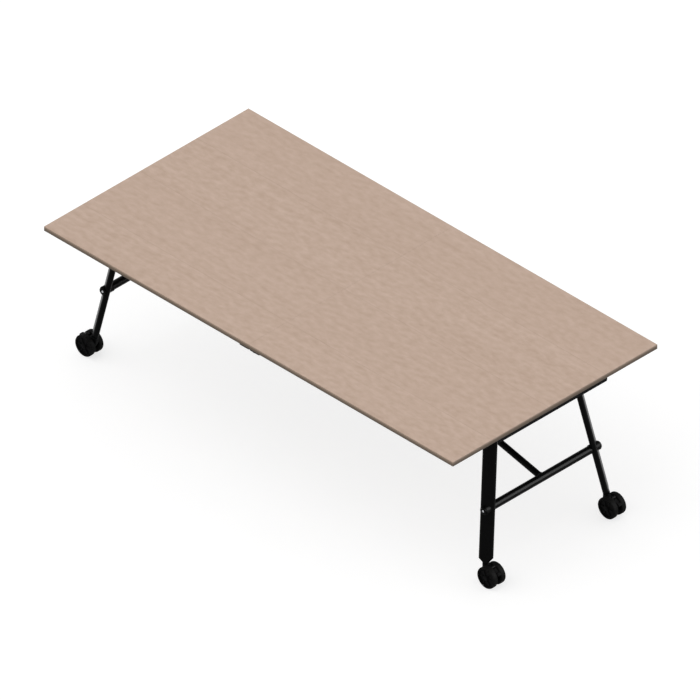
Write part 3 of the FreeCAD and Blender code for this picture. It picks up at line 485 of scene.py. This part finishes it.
def carry_along(path, section, above):
    """A section (across, up) carried along a path: each ring is the path's point plus across x side plus
    up x lift, where side and lift stand square to the path and lift leans towards the given direction."""
    path = np.asarray(path, float)
    ahead = np.gradient(path, axis=0)
    ahead /= np.linalg.norm(ahead, axis=1, keepdims=True)
    side = np.cross(ahead, np.asarray(above, float))
    side /= np.linalg.norm(side, axis=1, keepdims=True)
    lift = np.cross(side, ahead)
    return path[:, None] + section[..., :1] * side[:, None] + section[..., 1:] * lift[:, None]


def mesh_points(mesh):
    """All points of a mesh as one array."""
    points = np.zeros(len(mesh.vertices) * 3, np.float32)
    mesh.vertices.foreach_get("co", points)
    return points.reshape(-1, 3).astype(float)


def vertices(node):
    """All points of a frame node as one array."""
    return mesh_points(frame["nodes"][node].data)


def box(node):
    """The low and the high corner of a frame node as arrays."""
    return [np.array(corner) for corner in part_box(node)]


def pivot(joint):
    """The place of a joint."""
    return np.array(joints[joint]["pos_m"], float)


# %% [markdown]
# ## Wheels
# Each caster runs on two moulded wheels. A wheel is a turned profile, with a crowned tread and a fine
# groove where the tyre meets the hub, but its dished face has spokes, which a lathe can't make. So the
# profile is carried round the axle with a ripple: inside the dish, the floor rises wherever the cosine of
# six times the angle is high.

# %% Wheels
# (radius, height) from the axle on the inner face, over the tread, to the middle of the hub on the outer
# face, as shares of the wheel's radius and width
WHEEL_PROFILE = np.array([
    (0, -0.50), (0.20, -0.50), (0.22, -0.47), (0.80, -0.47), (0.82, -0.50), (0.95, -0.50), (1.0, -0.40),
    (1.0, 0.40), (0.95, 0.50), (0.86, 0.50), (0.85, 0.46), (0.83, 0.46), (0.82, 0.50), (0.78, 0.50),
    (0.74, 0.26), (0.66, 0.25), (0.55, 0.25), (0.44, 0.25), (0.34, 0.25), (0.28, 0.27), (0.25, 0.44),
    (0.20, 0.485), (0.10, 0.50), (0, 0.50)])
# shares of the radius, and of the width for heights
WHEEL_BEND = 0.05
CROWN_FALL = 0.012
CROWN_HALF = 0.40
CROWN_START = 0.97
SPOKES = 6
SPOKE_HEIGHT = 0.13
SPOKE_SIDES = (0.35, 0.70)
DISH_INNER = (0.26, 0.32)
DISH_OUTER = (0.75, 0.70)
DISH_LEVEL = 0.2
TREAD_START = (0.85, 0.87)


def wheel_grid(centre, radius, width, outward):
    """The wheel's profile, with a tread that falls by crown x (height / half) ^ 2 to both sides."""
    profile = soften(WHEEL_PROFILE * (radius, width), WHEEL_BEND * radius)
    crown = CROWN_FALL * radius * ramp(np.abs(profile[:, 1]), 0, CROWN_HALF * width) ** 2
    profile[:, 0] -= np.where(profile[:, 0] > CROWN_START * radius, crown, 0)

    def spokes(r, h, angle):
        inside = ramp(r / radius, *DISH_INNER) * ramp(r / radius, *DISH_OUTER)
        rib = ramp(np.cos(SPOKES * angle), *SPOKE_SIDES)
        return r, np.where(h > DISH_LEVEL * width, h + inside * rib * SPOKE_HEIGHT * width, h)

    return carry_round(profile, centre, (0, outward, 0), turns=144, ripple=spokes)


for corner in CORNERS:
    middle_y = pivot(f"swivel_{corner}")[1]
    for place in ("outer", "inner"):
        node = f"wheel_{corner}_{place}"
        low, high = box(node)
        centre = (low + high) / 2
        radius = (high[2] - low[2]) / 2
        outward = np.sign(centre[1] - middle_y)
        grid = wheel_grid(centre, radius, high[1] - low[1], outward)
        wheel = lay(f"tyre_and_hub_{corner}_{place}", [grid], node, "wheel", [node], crease=50)
        reach = np.hypot(*(mesh_points(wheel.data) - centre)[:, [0, 2]].T)
        tread = wheel.data.attributes.new("tread", "FLOAT", "POINT")
        tread.data.foreach_set("value", ramp(reach / radius, *TREAD_START).astype(np.float32))
print("wheels of", round(2 * radius / MM), "mm with", SPOKES, "spokes")

# %% [markdown]
# ## Caster housings
# Between the wheels stands a moulded housing: round at the bottom about the axle, square-shouldered in the
# middle, and drawn up into the round head that turns on the stem. It is a stack of level rings. Each ring's
# ends, width and squareness follow the height, so one formula goes from a boxy ring to a circle.

# %% Caster housings
# height above the floor, end behind the stem, end beyond the axle, half width, all in millimetres, and
# squareness
HOUSING = np.array([
    (16, 30, 36, 4.0, 4), (16.6, 24, 42, 8.0, 4), (19, 19, 47, 9.8, 6), (26, 9, 57, 10.2, 7),
    (36, 2, 64, 10.2, 7), (50, -3, 67, 10.2, 7), (62, -10, 65, 10.2, 7), (72, -13.5, 59, 10.2, 7),
    (80, -14, 50, 10.2, 7), (86, -14, 40, 10.2, 6), (90, -14, 31, 10.2, 5), (92.6, -14.3, 22, 10.4, 4),
    (93.8, -14.7, 16.5, 10.8, 3), (94.7, -15, 15, 14.4, 2.1), (95.1, -15, 15, 15, 2), (97, -15, 15, 15, 2),
    (97.7, -14.5, 14.5, 14.5, 2), (98, -13.5, 13.5, 13.5, 2)])
HOUSING_RINGS = 70
HOUSING_CROWDING = 0.9
# (radius, height) of the pedal's axle in millimetres
PEDAL_AXLE = np.array([
    (0, -9.4), (2.6, -9.4), (3, -9), (3, -4), (5.6, -4), (6, -3.6), (6, 3.6), (5.6, 4), (3, 4), (3, 9),
    (2.6, 9.4), (0, 9.4)])


def housing_grid(stem, outward):
    """Level rings by height, closer together towards the top: centre and half length from the two ends."""
    levels = HOUSING[:, 0]
    shares = np.linspace(0, 1, HOUSING_RINGS) ** HOUSING_CROWDING
    heights = np.union1d(shares * np.ptp(levels) + levels[0], levels)
    columns = [np.interp(heights, levels, column) for column in HOUSING[:, 1:].T]
    start, end, half_width, power = columns
    ring = oval((end - start) / 2, half_width, power, turns=72)
    x = (ring[..., 0] + ((start + end) / 2)[:, None]) * outward
    grid = np.stack([x, ring[..., 1], np.broadcast_to(heights[:, None], x.shape)], -1)
    return with_poles(grid) * MM + (stem[0], stem[1], 0)


def pedal_axle(at):
    """Turned boss with a slimmer trunnion on each side, for the pedal."""
    return carry_round(PEDAL_AXLE * MM, at, (0, 1, 0), turns=32)


for corner in CORNERS:
    stem = pivot(f"swivel_{corner}")
    grids = [housing_grid(stem, np.sign(stem[0])), pedal_axle(pivot(f"brake_{corner}"))]
    lay(f"caster_housing_{corner}", grids, f"caster_{corner}", "black_plastic", [f"caster_body_{corner}"])
print(len(CORNERS), "housings")

# %% [markdown]
# ## Brake pedals
# A foot presses the lever behind each caster. The lever is a flat section carried out from its pivot, thin
# at the root and swelling to a pad at the tip. Cross ribs on the pad keep a sole from slipping: they are a
# sine added to the upper side of the section, so they are real relief.

# %% Brake pedals
PEDAL_TILT = np.radians(28)
# lengths in millimetres from the pedal's pivot
LEVER_START = 8.6
LEVER_END = 47.0
LEVER_STEP = 0.1
LEVER_HALF_WIDTH = 9.4
LEVER_HALF_THICKNESS = 1.9
LEVER_ROUND = 1.4
LEVER_RINGS = 150
LEVER_LEAST = 0.02
PAD_START = 33.5
PAD_RUN = 1.1
PAD_RISE = 2.3
PAD_LIFT = 0.4
RIBS_START = 35
RIBS_END = 46.2
RIB_PITCH = 2.9
RIB_HEIGHT = 0.7
CHEEK_RADIUS = 5.4
CHEEK_INNER = 4.5
CHEEK_OUTER = 9.4
CHEEK_BEND = 0.6
ARM_SPAN = (3.0, 12.0)
ARM_RINGS = 12
ARM_HALF_WIDTH = 2.4
ARM_HALF_THICKNESS = 1.8


def lever_grid():
    """Rings along s. The upper side rises from the root to the pad by 1 / (1 + e ^ -s) and carries the
    ribs, and the section shrinks to a round end within a short way of both ends."""
    inner = np.linspace(LEVER_START + LEVER_STEP, LEVER_END - LEVER_STEP, LEVER_RINGS)
    along = np.concatenate([[LEVER_START], inner, [LEVER_END]])
    rise = 1 / (1 + np.exp(-(along - PAD_START) / PAD_RUN))
    wave = np.clip(np.sin((along - RIBS_START) * 2 * np.pi / RIB_PITCH), 0, 1)
    ribs = RIB_HEIGHT * wave * (along > RIBS_START) * (along < RIBS_END)
    top = LEVER_HALF_THICKNESS + PAD_RISE * rise + ribs
    bottom = PAD_LIFT * rise - LEVER_HALF_THICKNESS
    from_end = np.minimum(along - LEVER_START, LEVER_END - along) + LEVER_STEP
    ends = np.sqrt(np.clip(from_end / LEVER_ROUND, LEVER_LEAST, 1))
    ring = oval(LEVER_HALF_WIDTH * ends, (top - bottom) / 2 * ends, power=6, turns=56)
    x = np.broadcast_to(along[:, None], ring.shape[:2])
    return with_poles(np.stack([x, ring[..., 0], ring[..., 1] + ((top + bottom) / 2)[:, None]], -1))


def cheek_grids(side):
    """A disc round the trunnion on one side, and an arm from it to the lever."""
    corners = [(0, CHEEK_INNER), (CHEEK_RADIUS, CHEEK_INNER), (CHEEK_RADIUS, CHEEK_OUTER), (0, CHEEK_OUTER)]
    disc = carry_round(soften(corners, CHEEK_BEND), (0, 0, 0), (0, side, 0), turns=40)
    half_widths = np.full(ARM_RINGS, ARM_HALF_WIDTH)
    half_heights = np.full(ARM_RINGS, ARM_HALF_THICKNESS)
    ring = oval(half_widths, half_heights, power=5, turns=32)
    x = np.broadcast_to(np.linspace(*ARM_SPAN, ARM_RINGS)[:, None], ring.shape[:2])
    y = ring[..., 0] + side * (CHEEK_INNER + CHEEK_OUTER) / 2
    return [disc, np.stack([x, y, ring[..., 1]], -1)]


def pedal_grids(at, outward):
    """Lever and cheeks, tilted down by the pedal's angle and set on its pivot."""
    cosine, sine = np.cos(PEDAL_TILT), np.sin(PEDAL_TILT)
    placed = []
    for grid in [lever_grid(), *cheek_grids(-1), *cheek_grids(1)]:
        x = (grid[..., 0] * cosine + grid[..., 2] * sine) * outward
        z = grid[..., 2] * cosine - grid[..., 0] * sine
        placed.append(np.stack([x, grid[..., 1], z], -1) * MM + at)
    return placed


for corner in CORNERS:
    at = pivot(f"brake_{corner}")
    grids = pedal_grids(at, np.sign(at[0]))
    replaced = [f"brake_pedal_{corner}"]
    lay(f"ribbed_pedal_{corner}", grids, f"pedal_{corner}", "black_plastic", replaced, crease=30)
print(len(CORNERS), "pedals")

# %% [markdown]
# ## Crossbar caps and bushes
# The crossbars turn in flanged bushes in the legs and end in domed caps. Both are turned pieces, so both
# are profiles carried round the bar's axis: the cap with a round recess in its face, and the bush with a
# rounded flange on each side of the leg. A zinc screw with a six-sided socket holds the cap. It is the
# small bright spot that the picture shows in the middle of each cap.

# %% Caps and bushes
CAP_SEAT = 0.45
# (radius, height) of a cap as shares of its radius and depth
CAP_PROFILE = np.array([
    (0, CAP_SEAT), (0.40, CAP_SEAT), (0.44, 0.97), (0.62, 1.0), (0.82, 0.92), (1.0, 0.45), (1.0, 0.03),
    (0.97, 0.0), (0, 0.0)])
CAP_BEND = 0.05
# (radius, height) of the screw's button head in millimetres
CAP_SCREW = np.array([(0, 0.5), (2.3, 0.5), (2.4, 2.2), (4.1, 1.8), (5.3, 0.7), (5.5, 0.0), (0, 0.0)])
SOCKET_REACH = 2.6 * MM
SOCKET_FLAT = 0.93
BUSH_PLAY = 0.05 * MM
BUSH_WALL = 2 * MM
FLANGE_WALL = 2.5 * MM
FLANGE_THICKNESS = 2.6 * MM


def cap_grid(at, outward, radius, depth):
    """Domed cap with a round recess for its screw."""
    profile = soften(CAP_PROFILE * (radius, depth), CAP_BEND * radius)
    return carry_round(profile, at, (0, outward, 0), turns=64)


def cap_screw_grid(at, outward):
    """Button head whose socket takes the six flats of a hexagon."""

    def socket(radius, height, angle):
        inside = (radius < SOCKET_REACH) & (height > 0)
        return np.where(inside, radius * SOCKET_FLAT * hexagon(angle), radius), height

    profile = soften(CAP_SCREW * MM, reach=0.3 * MM)
    return carry_round(profile, at, (0, outward, 0), turns=72, ripple=socket)


def bush_grid(at, half, bar_radius):
    """Sleeve from -half to half with a rounded flange at each end; the profile is a closed loop."""
    inner, outer, flange = bar_radius + BUSH_PLAY, bar_radius + BUSH_WALL, bar_radius + FLANGE_WALL
    shoulder = half - FLANGE_THICKNESS
    corners = [(inner, 0), (inner, half), (flange, half), (flange, shoulder), (outer, shoulder),
               (outer, -shoulder), (flange, -shoulder), (flange, -half), (inner, -half), (inner, 0)]
    return carry_round(soften(corners, reach=0.7 * MM), at, (0, 1, 0), turns=64)


for side in SIDES:
    bar = pivot(f"{side}_brace_turn")
    bar_low, bar_high = box(f"crossbar_{side}")
    cap_low, cap_high = box(f"crossbar_caps_{side}")
    bar_radius, radius = (bar_high[2] - bar_low[2]) / 2, (cap_high[2] - cap_low[2]) / 2
    depth = cap_high[1] - bar_high[1]
    seat = bar_high[1] + CAP_SEAT * depth
    bush = np.abs(vertices(f"crossbar_bushes_{side}")[:, 1])
    half, middle = np.ptp(bush) / 2, (bush.max() + bush.min()) / 2
    caps = [cap_grid((bar[0], way * bar_high[1], bar[2]), way, radius, depth) for way in (-1, 1)]
    screws = [cap_screw_grid((bar[0], way * seat, bar[2]), way) for way in (-1, 1)]
    sleeves = [bush_grid((bar[0], way * middle, bar[2]), half, bar_radius) for way in (-1, 1)]
    lay(f"domed_caps_{side}", caps, f"{side}_brace", "black_plastic", [f"crossbar_caps_{side}"])
    lay(f"cap_screws_{side}", screws, f"{side}_brace", "steel", crease=30)
    lay(f"flanged_bushes_{side}", sleeves, f"{side}_legs", "black_plastic", [f"crossbar_bushes_{side}"])
print("caps", round(2 * radius / MM), "mm across")

# %% [markdown]
# ## Rail plugs
# The open ends of the square cross rails are closed with push-in plugs. A plug is a stack of rounded
# squares that shrink as they rise, which gives a low dome with soft corners.

# %% Rail plugs
PLUG_PROUD = 3 * MM
PLUG_PLAY = 0.2 * MM
PLUG_SHRINK = 0.22
PLUG_RINGS = 14
PLUG_ROUND = 0.7


def plug_grid(at, outward, half):
    """Rounded squares by t from 0 to 1: half size x (1 - shrink x t ^ 4), rising as a sine."""
    rise = np.linspace(0, 1, PLUG_RINGS)
    size = half * np.concatenate([[0], 1 - PLUG_SHRINK * rise**4, [0]])
    proud = PLUG_PROUD * np.concatenate([[0], np.sin(rise * np.pi / 2) ** PLUG_ROUND, [1]])
    ring = oval(size, size, power=9, turns=64)
    y = np.broadcast_to((proud * outward)[:, None], ring.shape[:2])
    return np.stack([ring[..., 0], y, ring[..., 1]], -1) + at


for side in SIDES:
    plugs = []
    for rail in ("end_rail", "centre_rail"):
        low, high = box(f"{rail}_{side}")
        middle, half = (low + high) / 2, (high[2] - low[2]) / 2
        for way in (-1, 1):
            plugs.append(plug_grid((middle[0], way * high[1], middle[2]), way, half - PLUG_PLAY))
    lay(f"rail_plugs_{side}", plugs, f"{side}_top", "black_plastic")
print("plugs", round(2 * half / MM), "mm square")

# %% [markdown]
# ## Welds
# The strut's foot is coped to the crossbar and welded all round. The bead follows the line where the two
# tubes meet: going round the strut, the distance along it is the larger root of a quadratic, because the
# point has to lie on the crossbar's surface. Ripples in the bead's radius are the welder's steps. Plainer
# beads close the corners where the side rails meet the cross rails.

# %% Welds
STRUT_RADIUS = 14.4 * MM
FOOT_REACH = 60 * MM
PIN_REACH = 30 * MM
STRUT_BEAD = 2.6 * MM
STRUT_BEAD_STEPS = 44
STRUT_BEAD_PROUD = 0.3
RAIL_BEAD = 1.7 * MM
RAIL_BEAD_STEPS = 20
RAIL_BEND = 2 * MM
BEAD_RIPPLE = 0.14
STRUT_BEAD_POINTS = 361
RAIL_BEAD_POINTS = 120


def bead(path, radius, steps, above):
    """A small round section along a path, whose radius rises and falls once for each step of the torch."""
    wave = radius * (1 + BEAD_RIPPLE * np.sin(np.linspace(0, 2 * np.pi * steps, len(path))))
    return carry_along(path, oval(wave, wave, power=2, turns=14), above)


def strut_bead(side):
    """Bead round the strut's foot. The strut's middle line runs from the middle of its points near the
    crossbar's axis to the mean of those near its far end, the pin."""
    bar = pivot(f"{side}_brace_turn")
    strut = vertices(f"strut_{side}")
    away = np.hypot(strut[:, 0] - bar[0], strut[:, 2] - bar[2])
    foot_y = strut[away < FOOT_REACH, 1]
    foot = np.array([bar[0], (foot_y.min() + foot_y.max()) / 2, bar[2]])
    pin = strut[away > away.max() - PIN_REACH].mean(0)
    run = (pin - foot) / np.linalg.norm(pin - foot)
    first = np.cross(run, [0, 1, 0])
    first /= np.linalg.norm(first)
    second = np.cross(run, first)
    bar_low, bar_high = box(f"crossbar_{side}")
    bar_radius = (bar_high[2] - bar_low[2]) / 2 + STRUT_BEAD_PROUD * STRUT_BEAD
    angle = np.linspace(0, 2 * np.pi, STRUT_BEAD_POINTS)
    wall = STRUT_RADIUS * (np.cos(angle)[:, None] * first + np.sin(angle)[:, None] * second)
    # leaves out Y, the way the crossbar lies
    flat = np.array([1.0, 0.0, 1.0])
    a = np.sum((run * flat) ** 2)
    b = 2 * np.sum(run * flat * wall, axis=1)
    c = np.sum((wall * flat) ** 2, axis=1) - bar_radius**2
    distance = (-b + np.sqrt(b**2 - 4 * a * c)) / (2 * a)
    path = foot + wall + distance[:, None] * run
    grid = bead(path, STRUT_BEAD, STRUT_BEAD_STEPS, run)
    grid[-1] = grid[0]
    return grid


def rail_bead(x, outer, inner, low, high):
    """Bead down the outer side of a rail's end, under it and up the inner side, in even steps."""
    corners = [(x, outer, high - RAIL_BEND), (x, outer, low), (x, inner, low), (x, inner, high - RAIL_BEND)]
    line = soften(corners, RAIL_BEND, steps=4)
    length = np.concatenate([[0], np.cumsum(np.linalg.norm(np.diff(line, axis=0), axis=1))])
    places = np.linspace(0, 1, RAIL_BEAD_POINTS) * length[-1]
    path = np.stack([np.interp(places, length, column) for column in line.T], -1)
    return bead(path, RAIL_BEAD, RAIL_BEAD_STEPS, (1, 0, 0))


for side in SIDES:
    lay(f"strut_weld_{side}", [strut_bead(side)], f"{side}_brace", "black_steel", crease=60)
    rails = vertices(f"side_rails_{side}")
    low, high = rails[:, 2].min(), rails[:, 2].max()
    outer = np.abs(rails[:, 1]).max()
    inner = outer - (high - low)
    beads = []
    for x in (rails[:, 0].min(), rails[:, 0].max()):
        for way in (-1, 1):
            beads.append(rail_bead(x, way * outer, way * inner, low, high))
    lay(f"rail_welds_{side}", beads, f"{side}_top", "black_steel", crease=60)
print("weld runs", 2 * len(beads) + 2)

# %% [markdown]
# ## Screws
# Pan-head screws hold the frame, brackets and hinges to the board. Their places are read from the frame:
# the mean of all points within a head's reach of a point is the middle of its screw, the same for every
# point of that screw, and the lowest of them gives its level. Each new head is a low dome on a polar grid,
# with a cross pressed into it: the recess is where either arm's width is met.

# %% Screws
HEAD_REACH = 9 * MM
HEAD_RADIUS = 4.3 * MM
HEAD_HEIGHT = 2.5 * MM
# shares of the head's radius, from its middle to its rim
HEAD_RINGS = np.array([0, 0.12, 0.2, 0.28, 0.36, 0.46, 0.56, 0.62, 0.7, 0.86, 0.96, 1.0, 1.0])[:, None]
HEAD_POINTS = 33
CROSS_SIDES = (0.15, 0.10)
CROSS_ENDS = (0.62, 0.52)
# shares of the head's height
DOME_FALL = 0.45
RECESS_DEPTH = 0.42


def head_places(node):
    """Middles of the screw heads of a node, each at the level of its lowest points."""
    points = vertices(node)
    x, y, z = points.T
    near = np.hypot(x[:, None] - x, y[:, None] - y) < HEAD_REACH
    middle = near.astype(float) @ points[:, :2] / near.sum(1, keepdims=True)
    lowest = np.where(near, z, np.inf).min(1)
    return np.unique(np.round(np.column_stack([middle, lowest]), decimals=5), axis=0)


def screw_head(at, turn):
    """Dome by r from 0 to 1: height x (1 - fall x r ^ 2), less the cross recess, and 0 at the rim."""
    angle = np.linspace(0, 2 * np.pi, HEAD_POINTS)
    x, y = HEAD_RINGS * np.cos(angle), HEAD_RINGS * np.sin(angle)
    narrow, wide = np.minimum(np.abs(x), np.abs(y)), np.maximum(np.abs(x), np.abs(y))
    recess = RECESS_DEPTH * ramp(narrow, *CROSS_SIDES) * ramp(wide, *CROSS_ENDS)
    depth = 1 - DOME_FALL * HEAD_RINGS**2 - recess
    depth[-1] = 0
    cosine, sine = np.cos(turn), np.sin(turn)
    across, along = (x * cosine - y * sine) * HEAD_RADIUS, (x * sine + y * cosine) * HEAD_RADIUS
    grid = np.stack([across, along, -depth * HEAD_HEIGHT], -1)
    grid[:, -1] = grid[:, 0]
    return grid + (at[0], at[1], at[2] + HEAD_HEIGHT)


for side in SIDES:
    places = head_places(f"screws_{side}")
    turns = np.random.default_rng(len(side)).uniform(0, np.pi, len(places))
    heads = [screw_head(place, turn) for place, turn in zip(places, turns)]
    lay(f"pan_screws_{side}", heads, f"{side}_top", "steel", [f"screws_{side}"], crease=45)
print(len(places), "screws in each half")

# %% [markdown]
# ## Pivot nuts and hinge rivets
# Each leg hangs on a pin between two ears, held by a washer and a domed nut at both ends. Washer, hexagon
# and dome are one profile, and only the hexagon's part takes the six flats. The hinge pins end in small
# riveted domes.

# %% Pivot nuts and hinge rivets
# (radius, height) in millimetres
NUT_PROFILE = np.array([
    (0, 9.0), (3.2, 8.6), (6.0, 6.6), (6.9, 5.8), (8.6, 5.6), (8.6, 1.6), (12.6, 1.6), (12.6, 0.2),
    (12.4, 0), (0, 0)])
NUT_FLAT = 1.08 * np.cos(np.pi / 6)
FLATS_ABOVE = 1.7 * MM
FLATS_BEYOND = 6.95 * MM
# radius as a share of the rivet's, height in millimetres
RIVET_PROFILE = np.array([(0, 2.0), (0.6, 1.75), (1.0, 0.9), (1.05, 0.0), (0, 0)])
RIVET_RADIUS = 5.5 * MM


def nut_grid(at, outward):
    """Washer, hexagon and dome, facing outward."""

    def flats(radius, height, angle):
        flat = (height > FLATS_ABOVE) & (radius > FLATS_BEYOND)
        return np.where(flat, radius * NUT_FLAT * hexagon(angle), radius), height

    profile = soften(NUT_PROFILE * MM, reach=0.5 * MM)
    return carry_round(profile, at, (0, outward, 0), turns=72, ripple=flats)


def rivet_grid(at, outward):
    """Low dome, facing outward."""
    profile = soften(RIVET_PROFILE * (RIVET_RADIUS, MM), reach=0.3 * MM)
    return carry_round(profile, at, (0, outward, 0), turns=32)


def at_pin_ends(make, pins, joint):
    """A grid at both ends of the front and the rear pin of a node, each facing away from its pin."""
    x, _, z = pivot(joint)
    reach = np.abs(vertices(pins)[:, 1])
    grids = []
    for row in (-1, 1):
        grids.append(make((x, row * reach.max(), z), row))
        grids.append(make((x, row * reach.min(), z), -row))
    return grids


for side, fold in zip(SIDES, ("table_fold", "left_leg_fold")):
    nuts = at_pin_ends(nut_grid, f"pivot_pins_{side}", fold)
    lay(f"pivot_nuts_{side}", nuts, f"{side}_top", "steel", crease=30)
rivets = at_pin_ends(rivet_grid, "hinge_pins", "centre_fold")
lay("hinge_rivets", rivets, "right_top", "steel")
print(2 * len(nuts), "nuts and", len(rivets), "rivets")

# %% [markdown]
# ## Seam guards
# The picture shows a dark dash of about 12 cm under the middle of the long edge, longer than a hinge
# knuckle. It is read as a low moulded guard beside the seam on each half, which keeps fingers away from the
# hinge. A guard is a stack of rounded rectangles that draw in as they go down, like the rail plugs.

# %% Seam guards
GUARD_LENGTH = 57 * MM
GUARD_WIDTH = 24 * MM
GUARD_DEPTH = 8.5 * MM
GUARD_INSET = 3 * MM
GUARD_PLAY = 1.5 * MM
GUARD_DRAW = 1.6 * MM
GUARD_RINGS = 14


def guard_grid(middle):
    """Rounded rectangles by t from 0 to 1: each side draws in by draw x t ^ 4, going down as a sine."""
    drop = np.linspace(0, 1, GUARD_RINGS)
    draw = GUARD_DRAW * drop**4
    ring = oval(GUARD_LENGTH / 2 - draw, GUARD_WIDTH / 2 - draw, power=10, turns=96)
    depth = np.broadcast_to(-GUARD_DEPTH * np.sin(drop * np.pi / 2)[:, None], ring.shape[:2])
    return with_poles(np.concatenate([ring, depth[..., None]], -1)) + middle


for side, way in zip(SIDES, (1, -1)):
    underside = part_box(f"half_top_{side}")[0].z
    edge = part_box(f"edge_bands_{side}")[1].y
    x = way * (GUARD_PLAY + GUARD_LENGTH / 2)
    y = edge - GUARD_INSET - GUARD_WIDTH / 2
    guards = [guard_grid((x, row * y, underside)) for row in (-1, 1)]
    lay(f"seam_guards_{side}", guards, f"{side}_top", "black_plastic")
print(2 * len(guards), "seam guards")

# %% [markdown]
# ## Latch knob
# A finger slides the seam latch by a small knob under the board. A knurled grip is a cylinder whose radius
# ripples with the angle.

# %% Latch knob
# (radius, height) in millimetres
KNOB_PROFILE = np.array([
    (0, -0.5), (5.2, -0.5), (6.0, 0.1), (8.2, 0.0), (8.8, 0.7), (8.8, 3.6), (8.2, 4.3), (0, 4.3)])
KNURLS = 26
KNURL_HEIGHT = 0.28 * MM
KNURL_BEYOND = 7.6 * MM
KNOB_FACE = 0.01 * MM


def knurl(radius, height, angle):
    """Ripples the radius of the grip, which lies beyond the neck."""
    wave = KNURL_HEIGHT * np.cos(KNURLS * angle)
    return np.where(radius > KNURL_BEYOND, radius + wave, radius), height


bolt = vertices("latch_bolt")
lowest = bolt[:, 2].min()
knob = bolt[bolt[:, 2] < lowest + KNOB_FACE].mean(0)
profile = soften(KNOB_PROFILE * MM, reach=0.5 * MM)
grid = carry_round(profile, (knob[0], knob[1], lowest), (0, 0, 1), turns=208, ripple=knurl)
lay("latch_knob", [grid], "latch", "black_plastic")
print("knob at", np.round(knob, 3))

# %% [markdown]
# ## Floor and light
# The picture has a plain white ground, and the black tubes show one narrow bright line and almost no other
# light. So the sky is even, and a broad soft sun from the near left lifts the long front edge above the end
# edge. The line along the crossbar is a studio card behind the table: a ray from the camera that meets the
# bar's upper right side leaves it towards the card, which shows in reflections and gives no other light.
# Floor and sky glow white only for rays from the camera, reflections and glass. So the ground is white also
# in the zinc of a nut, it puts no more light on the table, and a faint shadow stays under it.

# %% Floor
FLOOR_HALF = 30.0
FLOOR_GLOW = 0.71
FLOOR_GREYS = ((0.37, 0.37, 0.37, 1), (0.39, 0.39, 0.39, 1))
WHITE = (1, 1, 1, 1)


def seen_rays(tree):
    """1 for a ray of the camera, a reflection or glass, and 0 for one that brings light to a surface."""
    rays = add(tree, "ShaderNodeLightPath").outputs
    mirrored = maths(tree, "MAXIMUM", rays["Is Glossy Ray"], rays["Is Transmission Ray"])
    return maths(tree, "MAXIMUM", rays["Is Camera Ray"], mirrored)


def make_floor():
    settings = {"Roughness": 0.9, "Specular_IOR_Level": 0.1, "Emission_Color": WHITE}
    material, tree, shader, place = start_finish("floor", **settings)
    dust = noise(tree, place, size=0.4, detail=2.0)
    glow = maths(tree, "MULTIPLY", seen_rays(tree), FLOOR_GLOW)
    tree.links.new(blend(tree, dust, *FLOOR_GREYS), shader.inputs["Base Color"])
    tree.links.new(glow, shader.inputs["Emission Strength"])
    return material


floor_mesh = bpy.data.meshes.new("floor")
floor_corners = np.array([(-1, -1, 0), (1, -1, 0), (1, 1, 0), (-1, 1, 0)]) * FLOOR_HALF
floor_mesh.from_pydata(floor_corners.tolist(), [], [(0, 1, 2, 3)])
floor = bpy.data.objects.new("floor", floor_mesh)
floor_mesh.materials.append(make_floor())
bpy.context.scene.collection.objects.link(floor)

# %% Light
SKY_LIGHT = 0.72
SKY_SEEN = 1.0
world = bpy.data.worlds.new("sky")
bpy.context.scene.world = world
world.use_nodes = True
sky = world.node_tree
background = sky.nodes["Background"]
level = between(sky, seen_rays(sky), span=(0.0, 1.0), onto=(SKY_LIGHT, SKY_SEEN))
sky.links.new(level, background.inputs["Strength"])
background.inputs["Color"].default_value = WHITE


def add_sun(name, towards, energy, width):
    """A sun in a direction from the table, as wide in the sky as the angle in degrees."""
    sun = bpy.data.objects.new(name, bpy.data.lights.new(name, "SUN"))
    sun.data.energy = energy
    sun.data.angle = np.radians(width)
    sun.rotation_mode = "QUATERNION"
    sun.rotation_quaternion = Vector(towards).to_track_quat("Z", "Y")
    bpy.context.scene.collection.objects.link(sun)
    return sun


add_sun("soft_sun", towards=(-0.35, -0.55, 0.75), energy=0.8, width=70)
card = add_sun("studio_card", towards=(0.68, 0.58, 0.45), energy=10.0, width=46)
card.visible_diffuse = False
bpy.context.scene.view_settings.view_transform = "Standard"
print("a soft sun, a studio card and an even sky")
